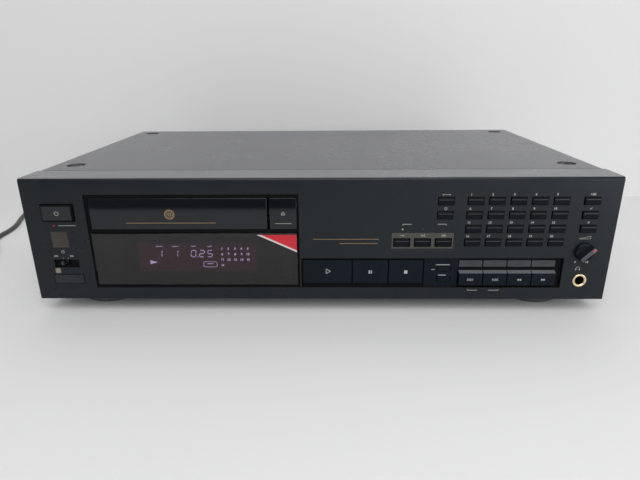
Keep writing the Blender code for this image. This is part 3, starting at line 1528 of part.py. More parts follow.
def involute(radius, base):
    """The involute function at a radius; 0 inside the base circle."""
    if radius <= base:
        return 0
    angle = math.acos(base / radius)
    return math.tan(angle) - angle


def pulley_profile(radius, shaft, low, high):
    """A grooved pulley from low to high on a shaft, as (radius, height) pairs."""
    lip = radius + PULLEY_LIP
    middle = (low + high) / 2
    half = PULLEY_GROOVE / 2
    edge = (high - low - PULLEY_GROOVE) / 4
    return [
        (shaft, low),
        (lip, low),
        (lip, middle - half - edge),
        (radius, middle - half),
        (radius, middle + half),
        (lip, middle + half + edge),
        (lip, high),
        (shaft, high),
    ]


def make_drive(materials, datum):
    """The tray's drive: motor, its pulley, the belt and the pulley with the tray's gear."""
    centre = (GEAR_X, GEAR_DEPTH, 0)
    low = FRAME_FLOOR_TOP + TOUCH
    profile = [(0, low), (HUB_RADIUS, low)]
    profile += pulley_profile(PULLEY_RADIUS, HUB_RADIUS, PULLEY_BOTTOM, PULLEY_TOP)
    profile += [(HUB_RADIUS, GEAR_TOP), (0, GEAR_TOP)]
    gear = unite(
        turned(profile, centre, 2),
        prism(gear_outline(centre), GEAR_BOTTOM, GEAR_TOP - TOUCH, 2),
    )
    cut(gear, cylinder(PIN_RADIUS + TOUCH, low - OVERRUN, GEAR_TOP + OVERRUN, centre, 2, 12))
    place(gear, "drive_gear", materials["white_plastic"], centre, datum)

    motor_centre = (MOTOR_X, GEAR_DEPTH, 0)
    boss_top = FRAME_FLOOR_TOP + MOTOR_BOSS_HEIGHT
    profile = [(0, boss_top + TOUCH), (MOTOR_SHAFT_RADIUS, boss_top + TOUCH)]
    profile += pulley_profile(MOTOR_PULLEY_RADIUS, MOTOR_SHAFT_RADIUS, PULLEY_BOTTOM, PULLEY_TOP)
    profile += [(0, PULLEY_TOP)]
    pulley = turned(profile, motor_centre, 2, 16)
    place(pulley, "motor_pulley", materials["white_plastic"], motor_centre, datum)

    can_top = FRAME_FLOOR - TOUCH
    profile = [
        (0, can_top - MOTOR_HEIGHT),
        (MOTOR_RADIUS, can_top - MOTOR_HEIGHT),
        (MOTOR_RADIUS, can_top),
        (MOTOR_BOSS_RADIUS, can_top),
        (MOTOR_BOSS_RADIUS, boss_top),
        (0, boss_top),
    ]
    motor = turned(profile, motor_centre, 2)
    place(motor, "loading_motor", materials["zinc_steel"], motor_centre, datum)

    middle = (PULLEY_BOTTOM + PULLEY_TOP) / 2
    belt = ring_prism(
        belt_outline(BELT_SIZE), belt_outline(0), middle - BELT_SIZE / 2, middle + BELT_SIZE / 2, 2
    )
    place(belt, "loading_belt", materials["rubber"], (GEAR_X, GEAR_DEPTH, middle), datum)


def belt_outline(offset):
    """The belt's line round both pulleys, offset outwards, in (x, depth)."""
    lean = math.asin((BELT_RADIUS - MOTOR_BELT_RADIUS) / BELT_SPAN)
    points = []
    steps = ROUND_STEPS // 2
    for i in range(steps + 1):
        angle = -math.pi / 2 - lean + (math.pi + 2 * lean) * i / steps
        radius = BELT_RADIUS + offset
        points.append((GEAR_X + radius * math.cos(angle), GEAR_DEPTH + radius * math.sin(angle)))
    for i in range(steps + 1):
        angle = math.pi / 2 + lean + (math.pi - 2 * lean) * i / steps
        radius = MOTOR_BELT_RADIUS + offset
        points.append((MOTOR_X + radius * math.cos(angle), GEAR_DEPTH + radius * math.sin(angle)))
    return points


def pickup_edges():
    """Front edge of the pickup at its inner stop, and the ends of its guide rod."""
    front = DISC_DEPTH + PICKUP_FROM_DISC
    rod_front = front - ROD_ROOM
    rod_rear = front + PICKUP_LENGTH + PICKUP_TRAVEL + ROD_ROOM
    return front, rod_front, rod_rear


def make_pickup_unit(materials, hinge):
    """The hinged base with its spindle motor, the turntable, the guide rod and the pickup."""
    front, rod_front, rod_rear = pickup_edges()
    half = BASE_WIDTH / 2
    base = block(
        (TRAY_X - half, DISC_DEPTH - BASE_FRONT, BASE_BOTTOM),
        (TRAY_X + half, HINGE_DEPTH - 2 * HINGE_PIN_RADIUS, BASE_TOP),
    )
    disc_axis = (TRAY_X, DISC_DEPTH, 0)
    motor_top = BASE_TOP + SPINDLE_RISE
    parts = [cylinder(SPINDLE_RADIUS, BASE_BOTTOM - SPINDLE_DROP, motor_top, disc_axis, 2)]
    pin_reach = hinge_reach() + HINGE_BLOCK_WIDTH - TOUCH
    arm = HINGE_PIN_RADIUS * 1.5
    for sign in (-1, 1):
        low, high = ordered(TRAY_X, sign, half - HINGE_BLOCK_WIDTH, half)
        parts.append(
            block(
                (low, HINGE_DEPTH - 2 * HINGE_BLOCK_LENGTH, HINGE_HEIGHT - arm),
                (high, HINGE_DEPTH + arm, BASE_TOP),
            )
        )
        low, high = ordered(TRAY_X, sign, half - HINGE_BLOCK_WIDTH / 2, pin_reach)
        pin_centre = (0, HINGE_DEPTH, HINGE_HEIGHT)
        parts.append(cylinder(HINGE_PIN_RADIUS, low, high, pin_centre, 0, 16))
    rod_x = TRAY_X + ROD_OFFSET
    wide = ROD_BLOCK_WIDTH / 2
    for start, end in ((rod_front - ROD_BLOCK, rod_front), (rod_rear, rod_rear + ROD_BLOCK)):
        parts.append(
            block(
                (rod_x - wide, start, BASE_TOP - BASE_THICKNESS / 2),
                (rod_x + wide, end, ROD_LEVEL + wide),
            )
        )
    unite(base, *parts)
    opening = BASE_WINDOW_WIDTH / 2
    cut(
        base,
        block(
            (TRAY_X - opening, rod_front, BASE_BOTTOM - OVERRUN),
            (TRAY_X + opening, rod_rear, BASE_TOP + OVERRUN),
        ),
    )
    hinge_origin = (TRAY_X, HINGE_DEPTH, HINGE_HEIGHT)
    place(base, "pickup_base", materials["zinc_steel"], hinge_origin, hinge)

    rod = cylinder(ROD_RADIUS, rod_front + TOUCH, rod_rear - TOUCH, (rod_x, 0, ROD_LEVEL), 1, 12)
    place(rod, "guide_rod", materials["zinc_steel"], (rod_x, rod_front, ROD_LEVEL), hinge)
    make_turntable(materials, hinge, disc_axis, motor_top)
    make_pickup(materials, hinge, front, rod_x)


def make_turntable(materials, hinge, disc_axis, motor_top):
    """The turntable: a hub over the spindle motor, the disc's seat and a centring cone."""
    hub = motor_top + TOUCH
    profile = [
        (0, hub),
        (HUB_RADIUS, hub),
        (HUB_RADIUS, DISC_SEAT - TURNTABLE_THICKNESS),
        (TURNTABLE_RADIUS, DISC_SEAT - TURNTABLE_THICKNESS),
        (TURNTABLE_RADIUS, DISC_SEAT),
        (CONE_RADIUS, DISC_SEAT),
        (CONE_TOP_RADIUS, DISC_SEAT + CONE_HEIGHT),
        (0, DISC_SEAT + CONE_HEIGHT),
    ]
    origin = (TRAY_X, DISC_DEPTH, DISC_SEAT)
    place(turned(profile, disc_axis, 2), "turntable", materials["gloss_black"], origin, hinge)


def make_pickup(materials, hinge, front, rod_x):
    """The optical pickup: body, lens, a bush on the rod and a lip on the base."""
    half = PICKUP_WIDTH / 2
    low = BASE_BOTTOM - PICKUP_DROP
    top = low + PICKUP_HEIGHT
    body = block((TRAY_X - half, front, low), (TRAY_X + half, front + PICKUP_LENGTH, top))
    lens_centre = (TRAY_X, front + LENS_SETBACK, 0)
    lens = cylinder(LENS_RADIUS, top - TOUCH, top + LENS_HEIGHT, lens_centre, 2, 16)
    bush_half = PICKUP_BUSH / 2
    bush = block(
        (TRAY_X + half - OVERRUN, front, BASE_TOP + TOUCH),
        (rod_x + bush_half, front + PICKUP_LENGTH, PICKUP_BUSH_TOP),
    )
    lip = block(
        (TRAY_X - half - PICKUP_LIP, front, BASE_TOP + TOUCH),
        (TRAY_X - half + OVERRUN, front + PICKUP_LENGTH, BASE_TOP + TOUCH + PICKUP_LIP_THICKNESS),
    )
    unite(body, lens, bush, lip)
    bore = cylinder(
        ROD_RADIUS + TOUCH,
        front - OVERRUN,
        front + PICKUP_LENGTH + OVERRUN,
        (rod_x, 0, ROD_LEVEL),
        1,
        12,
    )
    cut(body, bore)
    origin = (TRAY_X, front + LENS_SETBACK, top)
    place(body, "optical_pickup", materials["tray_plastic"], origin, hinge)


# Electronics

def main_board_edges():
    """Left, right, front and rear edge of the main board."""
    left = TRAY_X + FRAME_HALF + MAIN_BOARD_GAP
    right = CHASSIS_HALF - SHEET - MAIN_BOARD_GAP
    front = COVER_FRONT + MAIN_BOARD_SETBACK
    rear = CASE_DEPTH - 2 * SHEET - 2 * TOUCH - MAIN_BOARD_GAP / 2
    return left, right, front, rear


def make_main_board(materials, datum):
    """The main board with its heat sink, capacitors, chips and connectors."""
    left, right, front, rear = main_board_edges()
    width, length = right - left, rear - front
    board = block((left, front, MAIN_BOARD_BOTTOM), (right, rear, MAIN_BOARD_TOP))
    sunk = MAIN_BOARD_TOP - BOARD_THICKNESS / 2
    height = PANEL_HEIGHT - MAIN_BOARD_TOP
    chip_shares = [
        (0.30, 0.42, 0.16, 0.10, 0.05),
        (0.62, 0.30, 0.10, 0.16, 0.06),
        (0.58, 0.62, 0.14, 0.07, 0.05),
        (0.12, 0.80, 0.20, 0.05, 0.42),
        (0.84, 0.52, 0.06, 0.20, 0.10),
        (0.20, 0.12, 0.22, 0.04, 0.14),
    ]
    parts = []
    for across, along, wide, long, tall in chip_shares:
        x, y = left + across * width, front + along * length
        dx, dy = wide * width / 2, long * length / 2
        top = MAIN_BOARD_TOP + tall * height
        parts.append(block((x - dx, y - dy, sunk), (x + dx, y + dy, top)))
    can_shares = [(0.10, 0.62, 0.36, 0.040), (0.20, 0.62, 0.36, 0.040), (0.42, 0.84, 0.22, 0.026)]
    for across, along, tall, radius in can_shares:
        centre = (left + across * width, front + along * length, 0)
        top = MAIN_BOARD_TOP + tall * height
        parts.append(cylinder(radius * width, sunk, top, centre, 2, 16))
    unite(board, *parts)
    place(board, "main_board", materials["circuit_board"], (left, front, MAIN_BOARD_BOTTOM), datum)


def make_transformer(materials, datum):
    """The mains transformer: a laminated core with its winding through it, on two feet."""
    left = -CHASSIS_HALF + SHEET + TRANSFORMER_FROM_SIDE
    right = left + TRANSFORMER_WIDTH
    middle = (FRAME_REAR + CASE_DEPTH - SHEET) / 2
    front = middle - TRANSFORMER_LENGTH / 2
    coil_half = TRANSFORMER_LENGTH / 2
    core_half = coil_half * TRANSFORMER_COIL_SHARE
    top = CHASSIS_TOP + TRANSFORMER_HEIGHT
    core = block((left, middle - core_half, CHASSIS_TOP), (right, middle + core_half, top))
    centre = (left + right) / 2
    reach = TRANSFORMER_WIDTH / 2 * TRANSFORMER_COIL_SHARE
    sink = (TRANSFORMER_HEIGHT - TRANSFORMER_HEIGHT * TRANSFORMER_COIL_SHARE) / 2
    winding = block(
        (centre - reach, middle - coil_half, CHASSIS_TOP + sink),
        (centre + reach, middle + coil_half, top - sink),
        corner=TRANSFORMER_LENGTH / 10,
        axis=2,
    )
    feet = block(
        (left - TRANSFORMER_FROM_SIDE / 2, middle - core_half / 2, CHASSIS_TOP),
        (right + TRANSFORMER_FROM_SIDE / 2, middle + core_half / 2, CHASSIS_TOP + SHEET),
    )
    unite(core, winding, feet)
    origin = (left, front, CHASSIS_TOP)
    place(core, "power_transformer", materials["transformer_steel"], origin, datum)


def outlet_places():
    """Where the two line sockets stand across the back."""
    middle = HALF_WIDTH - OUTLET_FROM_SIDE
    return [middle - OUTLET_SPACING / 2, middle + OUTLET_SPACING / 2]


def outlet_height():
    """Height of the line sockets' axes."""
    return MAIN_BOARD_TOP + TOUCH + OUTLET_HEIGHT / 2


def make_line_sockets(materials, datum):
    """The two line sockets: one block on the main board and a sleeve through the back each."""
    middle = HALF_WIDTH - OUTLET_FROM_SIDE
    z = outlet_height()
    rear = CASE_DEPTH - SHEET - TOUCH
    low = MAIN_BOARD_TOP + TOUCH
    body = block(
        (middle - OUTLET_WIDTH / 2, rear - OUTLET_LENGTH, low),
        (middle + OUTLET_WIDTH / 2, rear, low + OUTLET_HEIGHT),
    )
    sleeves = []
    bores = []
    for x in outlet_places():
        centre = (x, 0, z)
        sleeves.append(cylinder(OUTLET_RADIUS, rear - SHEET, OUTLET_REAR, centre, 1, 16))
        collar = CASE_DEPTH + TOUCH
        outer = cylinder(OUTLET_COLLAR_RADIUS, collar, collar + OUTLET_COLLAR, centre, 1, 16)
        sleeves.append(outer)
        end = OUTLET_REAR - OUTLET_BORE_DEPTH
        bores.append(cylinder(OUTLET_BORE_RADIUS, end, OUTLET_REAR + OVERRUN, centre, 1, 12))
    unite(body, *sleeves)
    cut(body, *bores)
    place(body, "line_out_sockets", materials["gold"], (middle, rear, z), datum)


# Mains lead

def make_strain_relief(materials, datum):
    """The tapered bush that holds the lead in the back panel."""
    inner = CASE_DEPTH - SHEET - TOUCH
    outer = CASE_DEPTH + TOUCH
    profile = [
        (0, inner - RELIEF_INNER),
        (RELIEF_RADIUS, inner - RELIEF_INNER),
        (RELIEF_RADIUS, inner),
        (RELIEF_NECK_RADIUS, inner),
        (RELIEF_NECK_RADIUS, outer),
        (RELIEF_RADIUS, outer),
        (RELIEF_RADIUS, outer + RELIEF_FLANGE),
        (RELIEF_NECK_RADIUS, outer + RELIEF_FLANGE),
        (RELIEF_TIP_RADIUS, outer + RELIEF_REACH),
        (0, outer + RELIEF_REACH),
    ]
    centre = (CORD_EXIT_X, 0, CORD_EXIT_HEIGHT)
    made = turned(profile, centre, 1, 16)
    origin = (CORD_EXIT_X, outer, CORD_EXIT_HEIGHT)
    place(made, "strain_relief", materials["rubber"], origin, datum)


def smooth_route(points, steps):
    """Points along a Catmull-Rom curve between the first and last points' straight ends."""
    made = [points[0]]
    for a, b, c, d in zip(points, points[1:], points[2:], points[3:]):
        for i in range(steps):
            t = i / steps
            straight = 2 * b + (c - a) * t
            bend = (2 * a - 5 * b + 4 * c - d) * t * t + (3 * b - a - 3 * c + d) * t * t * t
            made.append((straight + bend) / 2)
    return made + points[-2:]


def coil_points():
    """The coil: spiral in on the floor, climb a layer at the middle, spiral out on top.

    The radius grows by one spacing a turn away from the middle turn, and the height climbs
    one spacing over the half turn round the middle. The tail then leaves in a straight line
    and eases down to the height of the plug's middle.
    """
    total = COIL_TURNS * 2 * math.pi
    middle = total / 2
    points = []
    for i in range(COIL_TURNS * COIL_STEPS + 1):
        turn = total * i / (COIL_TURNS * COIL_STEPS)
        away = abs(turn - middle)
        radius = COIL_INNER_RADIUS + COIL_SPACING * away / (2 * math.pi)
        climb = smooth_step((turn - middle) / math.pi + 0.5)
        x = COIL_X + radius * math.cos(turn)
        depth = COIL_DEPTH - radius * math.sin(turn)
        points.append(Vector((x, depth, CORD_FLOOR + COIL_SPACING * climb)))
    start = points[0]
    points.insert(0, start + Vector((0, CORD_DIAMETER, 0)))
    last = points[-1]
    tail_steps = 6
    for i in range(1, tail_steps + 1):
        share = i / tail_steps
        height = last.z - (last.z - PLUG_MIDDLE) * smooth_step(share)
        points.append(Vector((last.x, last.y - COIL_TAIL * share, height)))
    points.append(points[-1] + Vector((0, -CORD_DIAMETER, 0)))
    return points


def smooth_step(share):
    """Eases from 0 to 1."""
    share = min(max(share, 0), 1)
    return share * share * (3 - 2 * share)


def least_gap(points, diameter):
    """The least gap of a tube to itself, between points over a quarter turn apart."""
    reach = COIL_STEPS // 2
    least = math.inf
    for i, a in enumerate(points):
        for j in range(i + reach, len(points) - 1):
            b, c = points[j], points[j + 1]
            run = c - b
            share = min(max((a - b).dot(run) / run.length_squared, 0), 1)
            least = min(least, (a - b - run * share).length - diameter)
    return least


def length_of(points):
    """Length of a line through points."""
    return sum((b - a).length for a, b in zip(points, points[1:]))


def tube(points, name, material, resolution, parent):
    """A round tube along points, as a curve with a bevel and filled caps."""
    curve = bpy.data.curves.new(name, "CURVE")
    curve.dimensions = "3D"
    curve.bevel_depth = CORD_RADIUS
    curve.bevel_resolution = resolution
    curve.use_fill_caps = True
    spline = curve.splines.new("POLY")
    spline.points.add(len(points) - 1)
    for target, point in zip(spline.points, points):
        target.co = (*point, 1)
    curve.materials.append(material)
    made = bpy.data.objects.new(name, curve)
    bpy.context.scene.collection.objects.link(made)
    made.parent = parent
    return made


def make_lead(materials, datum):
    """The mains lead: the free stretch, the coil and the plug on its end."""
    coil = coil_points()
    start = Vector((CORD_EXIT_X, CORD_START, CORD_EXIT_HEIGHT))
    end = coil[0] + Vector((0, TOUCH, 0))
    straight = Vector((0, CORD_DIAMETER, 0))
    points = [start, start + straight]
    for left, back, share in LEAD_ROUTE:
        height = CORD_FLOOR + CORD_DROP * share
        points.append(Vector((CORD_EXIT_X - left, CORD_START + back, height)))
    points += [end + straight, end]
    route = smooth_route(points, LEAD_STEPS_PER_SPAN)
    tube(route, "power_cord", materials["lead_rubber"], 2, datum)
    tube(coil, "cord_coil", materials["lead_rubber"], 1, datum)
    print(f"lead {length_of(route) + length_of(coil):.4f} m, points {len(route)} and {len(coil)}")
    print(f"least gap in the coil {least_gap(coil, CORD_DIAMETER) * 1000:.3f} mm")
    make_plug(materials, datum, coil[-1])


def make_plug(materials, datum, end):
    """A flat two-pin plug that lies on the floor, its pins away from the coil."""
    back = end.y - TOUCH
    nose = back - PLUG_LENGTH
    x = end.x
    z = PLUG_MIDDLE
    wide = PLUG_WIDTH / 2
    narrow = PLUG_BACK_WIDTH / 2
    outline = [
        (x - narrow, back),
        (x - wide, nose + PLUG_NOSE_LENGTH),
        (x - wide, nose),
        (x + wide, nose),
        (x + wide, nose + PLUG_NOSE_LENGTH),
        (x + narrow, back),
    ]
    body = prism(outline, z - PLUG_HEIGHT / 2, z + PLUG_HEIGHT / 2, 2)
    half = PLUG_PIN_SPACING / 2
    pins = [
        turned(
            [
                (0, nose - PLUG_PIN_LENGTH),
                (PLUG_PIN_RADIUS / 2, nose - PLUG_PIN_LENGTH),
                (PLUG_PIN_RADIUS, nose - PLUG_PIN_LENGTH + PLUG_PIN_RADIUS),
                (PLUG_PIN_RADIUS, nose + PLUG_PIN_SINK),
                (0, nose + PLUG_PIN_SINK),
            ],
            (x + side * half, 0, z),
            1,
            12,
        )
        for side in (-1, 1)
    ]
    unite(body, *pins)
    place(body, "plug", materials["rubber"], (x, back, z), datum)


def main():
    clear_scene()
    materials = make_materials()
    datum = make_datum()
    hinge = make_lift_hinge(datum)
    make_front_panel(materials, datum)
    make_window(materials, datum)
    make_front_board(materials, datum)
    make_pad_keys(materials, datum)
    make_number_rows(materials, datum)
    make_strip_keys(materials, datum)
    make_open_key(materials, datum)
    make_power_button(materials, datum)
    make_timer_slider(materials, datum)
    make_level_knob(materials, datum)
    make_headphone_jack(materials, datum)
    make_cover(materials, datum)
    make_chassis(materials, datum)
    make_rear_panel(materials, datum)
    make_feet(materials, datum)
    make_tray(materials, datum)
    make_tray_door(materials, datum)
    make_transport_frame(materials, datum)
    make_clamp(materials, datum)
    make_drive(materials, datum)
    make_pickup_unit(materials, hinge)
    make_main_board(materials, datum)
    make_transformer(materials, datum)
    make_line_sockets(materials, datum)
    make_strain_relief(materials, datum)
    make_lead(materials, datum)


main()
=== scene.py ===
"""Fine surfaces, finishes, lights and camera for a front-loading disc player.

The solids of the player are loaded first and stay where they are. Most pieces that show
are then replaced by finer surfaces, worked out with numpy from the solids' own boxes, and
every piece that stays gets a finish. Lengths are in metres, +Z is up, the front faces -Y.
"""

import json
import math

import bmesh
import bpy
import numpy as np
from bpy.props import FloatProperty, FloatVectorProperty, IntProperty, PointerProperty
from mathutils import Matrix, Vector

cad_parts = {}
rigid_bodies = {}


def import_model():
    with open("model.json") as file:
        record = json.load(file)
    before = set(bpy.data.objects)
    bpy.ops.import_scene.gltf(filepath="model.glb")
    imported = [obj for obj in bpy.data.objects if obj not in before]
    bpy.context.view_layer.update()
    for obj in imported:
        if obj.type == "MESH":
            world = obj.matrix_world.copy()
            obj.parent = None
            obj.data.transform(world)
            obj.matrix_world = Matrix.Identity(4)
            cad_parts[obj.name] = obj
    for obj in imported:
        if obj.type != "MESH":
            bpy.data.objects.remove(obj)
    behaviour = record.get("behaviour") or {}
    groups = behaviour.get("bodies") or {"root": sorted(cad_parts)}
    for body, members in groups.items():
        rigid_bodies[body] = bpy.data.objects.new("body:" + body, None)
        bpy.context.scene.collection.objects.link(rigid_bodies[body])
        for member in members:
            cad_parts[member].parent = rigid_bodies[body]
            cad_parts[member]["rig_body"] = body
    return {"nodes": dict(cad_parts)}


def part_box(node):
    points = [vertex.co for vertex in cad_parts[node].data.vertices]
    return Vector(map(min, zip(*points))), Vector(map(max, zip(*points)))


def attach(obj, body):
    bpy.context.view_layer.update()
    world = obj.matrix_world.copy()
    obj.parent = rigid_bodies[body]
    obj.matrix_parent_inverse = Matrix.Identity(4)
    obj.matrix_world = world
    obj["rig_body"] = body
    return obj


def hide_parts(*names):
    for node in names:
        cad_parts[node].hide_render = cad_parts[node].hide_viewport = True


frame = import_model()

bl_info = {
    "name": "Disc player finishes",
    "version": (1, 0, 0),
    "blender": (4, 5, 0),
    "location": "3D View > Sidebar > Disc player",
    "description": "Fine surfaces, finishes and a stage for a front-loading disc player",
    "category": "Object",
}

MM = 0.001
PANEL_LOW, PANEL_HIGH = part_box("front_panel")
FACE = PANEL_LOW.y
BASE = PANEL_LOW.z

# Places on the key pad in millimetres: the first columns, the top row, the steps, half a
# key's height, and the mode keys' row and columns

NUMBER_X, TIME_X, SIDE_X = 112.6, 91.6, 194.6
TOP_ROW = 77.1
PITCH, ROW = 15.15, 10.43
KEY_HALF = 3.4
MODE_ROW = 3
MODE_X = (TIME_X - 2 * PITCH, TIME_X - PITCH, TIME_X)


def shade(name, text, value):
    """A colour property, linear red, green and blue."""
    return FloatVectorProperty(
        name=name, description=text, default=value, size=3, min=0, max=1, subtype="COLOR"
    )


def length(name, text, value):
    """A length property in metres."""
    return FloatProperty(name=name, description=text, default=value, min=0, unit="LENGTH")


class PlayerFinishes(bpy.types.PropertyGroup):
    """Colours of the player's finishes."""

    panel: shade("Front panel", "Satin charcoal of the moulded front", (0.0080, 0.0095, 0.0125))
    cover: shade("Cover", "Dark enamel of the steel cover", (0.080, 0.081, 0.091))
    gloss: shade("Door", "Gloss black of the tray door", (0.0040, 0.0050, 0.0075))
    smoke: shade("Window", "Tint of the smoked window", (0.11, 0.10, 0.115))
    key: shade("Keys", "Blue-black of the keys", (0.0040, 0.0062, 0.0105))
    slim_key: shade("Function keys", "Grey of the slim keys", (0.036, 0.039, 0.046))
    ink: shade("Pale print", "Pale grey print", (0.42, 0.41, 0.38))
    plate: shade("Mode plate", "Olive grey round the mode keys", (0.040, 0.040, 0.034))
    glow: shade("Figures", "Lilac white of the lit figures", (0.70, 0.62, 0.95))
    haze: shade("Display ground", "Purple haze behind the lit figures", (0.50, 0.05, 0.18))
    sticker: shade("Corner sticker", "Red of the sticker on the window", (0.50, 0.008, 0.022))
    gold: shade("Gold", "Plating of the headphone jack", (0.84, 0.68, 0.43))
    steel: shade("Sheet steel", "Zinc-plated sheet", (0.50, 0.51, 0.52))
    rubber: shade("Lead", "Grey-brown rubber of the lead", (0.060, 0.058, 0.052))
    foot: shade("Feet", "Dark plastic of the feet", (0.075, 0.075, 0.080))


class PlayerSizes(bpy.types.PropertyGroup):
    """Sizes of the fine surfaces."""

    key_ease: length("Key edge", "Radius of a key's front edge", 0.45 * MM)
    key_crease: length("Key crease", "How far a key's upper third falls back", 0.45 * MM)
    panel_ease: length("Panel edge", "Radius along the panel's cut edges", 0.30 * MM)
    sheet_ease: length("Sheet edge", "Radius along folded sheet", 0.70 * MM)
    print_depth: length("Print", "Thickness of printed marks", 0.04 * MM)
    figure_height: length("Figures", "Height of the printed numbers", 1.75 * MM)
    lead_diameter: length("Lead", "Diameter of the mains lead", 4.6 * MM)
    round_steps: IntProperty(
        name="Round steps", description="Points round a turned piece", default=72, min=12
    )


class StageSettings(bpy.types.PropertyGroup):
    """Floor, wall, lamps and camera."""

    floor: shade("Floor", "Pale floor", (0.85, 0.85, 0.85))
    wall: shade("Wall", "Pale wall behind", (0.79, 0.79, 0.795))
    wall_behind: length("Wall", "Distance of the wall behind the origin", 0.215)
    lamp_power: FloatProperty(
        name="Overhead lamp", description="Power of the soft lamp above", default=13.5, unit="POWER"
    )
    side_power: FloatProperty(
        name="Side lamp", description="Power of the soft lamp at the right", default=1.5,
        unit="POWER",
    )
    sky: FloatProperty(
        name="Room light", description="Strength of the light from all round", default=0.37
    )
    lens: FloatProperty(
        name="Lens", description="Focal length on a 36 mm wide sensor", default=28.48,
        unit="CAMERA",
    )


# Surfaces. A shell is a pair: an array of points, and a list of faces that index it.

def grid_faces(rows, columns, wrap_rows=False, wrap_columns=False):
    """Quads between neighbours of a grid whose point (row, column) is row * columns + column."""
    row, column = np.meshgrid(
        np.arange(rows if wrap_rows else rows - 1),
        np.arange(columns if wrap_columns else columns - 1),
        indexing="ij",
    )
    here, below = row * columns, (row + 1) % rows * columns
    after = (column + 1) % columns
    corners = here + column, here + after, below + after, below + column
    return np.stack(corners, -1).reshape(-1, 4)


def closed_rings(points, wrap_rows=False):
    """A shell from rings of points, array (row, column, 3): quads between the rings, and a
    flat face over the first and the last ring unless the rows close on themselves."""
    rows, columns = points.shape[:2]
    faces = grid_faces(rows, columns, wrap_rows, True).tolist()
    if not wrap_rows:
        faces += [list(range(columns)), list(range((rows - 1) * columns, rows * columns))]
    return points.reshape(-1, 3), faces


def joined(*shells):
    """Several shells as one."""
    points, faces, start = [], [], 0
    for shell_points, shell_faces in shells:
        points.append(shell_points)
        faces += [[i + start for i in face] for face in shell_faces]
        start += len(shell_points)
    return np.concatenate(points), faces


def on_axis(first, second, along, upright=False):
    """Points from two places across the Y axis, or the upright one, and one along it."""
    order = (first, second, along) if upright else (first, along, second)
    return np.stack(np.broadcast_arrays(*order), -1)


def angles(count):
    """Angles of so many points round a ring."""
    return np.linspace(0, 2 * np.pi, count, endpoint=False)


def turned(outline, centre, steps, closed=False, upright=False):
    """A surface of revolution: each (radius, along) of the outline is carried round the
    axis, at radius * cos(angle) and radius * sin(angle) from the centre. A closed outline
    is a loop."""
    first = centre[0] + outline[:, :1] * np.cos(angles(steps))
    second = centre[1] + outline[:, :1] * np.sin(angles(steps))
    return closed_rings(on_axis(first, second, outline[:, 1:], upright), closed)


def profile(start, *points):
    """Points (radius, along) of a turned profile, in millimetres from a start on its axis."""
    return np.array(points) * MM + (0, start)


def rounded(outline, radius, steps=4):
    """Profile points with each inner corner replaced by a quadratic curve that starts and
    ends at most radius from it: (1-t)^2 before + 2t(1-t) corner + t^2 after."""
    run = np.linalg.norm(np.diff(outline, axis=0), axis=1)
    reach = np.minimum(radius, np.minimum(run[:-1], run[1:]) * 0.45)[:, None]
    corner = outline[1:-1]
    before = corner + (outline[:-2] - corner) / run[:-1, None] * reach
    after = corner + (outline[2:] - corner) / run[1:, None] * reach
    t = np.linspace(0, 1, steps)[:, None, None]
    curve = (1 - t) ** 2 * before + 2 * t * (1 - t) * corner + t ** 2 * after
    middle = curve.transpose(1, 0, 2).reshape(-1, 2)
    return np.concatenate((outline[:1], middle, outline[-1:]))


def rounded_rectangle(width, height, corner, steps=5):
    """Points round a rectangle: in each quarter the corner's centre plus
    corner * (cos, sin) of an angle that runs through that quarter turn."""
    turn = np.linspace(0, np.pi / 2, steps)
    angle = (turn + np.arange(4)[:, None] * np.pi / 2).ravel()
    side_x = np.array([1, -1, -1, 1]).repeat(steps)
    side_z = np.array([1, 1, -1, -1]).repeat(steps)
    x = side_x * (width / 2 - corner) + corner * np.cos(angle)
    z = side_z * (height / 2 - corner) + corner * np.sin(angle)
    return np.stack((x, z), -1)


def slab(low, high, corner=0.2 * MM, ease=0.15 * MM):
    """A box with rounded corners along Y and eased rims: rings of a rounded rectangle,
    drawn in by ease at both ends along a quarter circle."""
    low, high = np.asarray(low, float), np.asarray(high, float)
    size, middle = (high - low)[[0, 2]], ((low + high) / 2)[[0, 2]]
    t = np.linspace(0, np.pi / 2, 3)
    rise = ease * (1 - np.cos(t))
    inset = ease * (1 - np.sin(t))
    depth = np.concatenate((low[1] + rise, high[1] - rise[::-1]))
    shrink = 1 - 2 * np.concatenate((inset, inset[::-1]))[:, None, None] / size
    ring = middle + rounded_rectangle(*size, max(corner, ease * 1.05), 4) * shrink
    return closed_rings(on_axis(ring[..., 0], ring[..., 1], depth[:, None]))


def spread(size, ease, corner, count):
    """Places across a size, close together within ease and corner of both ends."""
    near = ease * np.array([0, 0.12, 0.35, 0.65, 1.0]), corner * np.array([0.5, 1.0])
    even = np.linspace(0, size / 2, count)
    half = np.unique(np.round(np.concatenate((*near, even)), 7))
    half = half[half <= size / 2]
    return np.unique(np.round(np.concatenate((half, size - half)), 7)) - size / 2


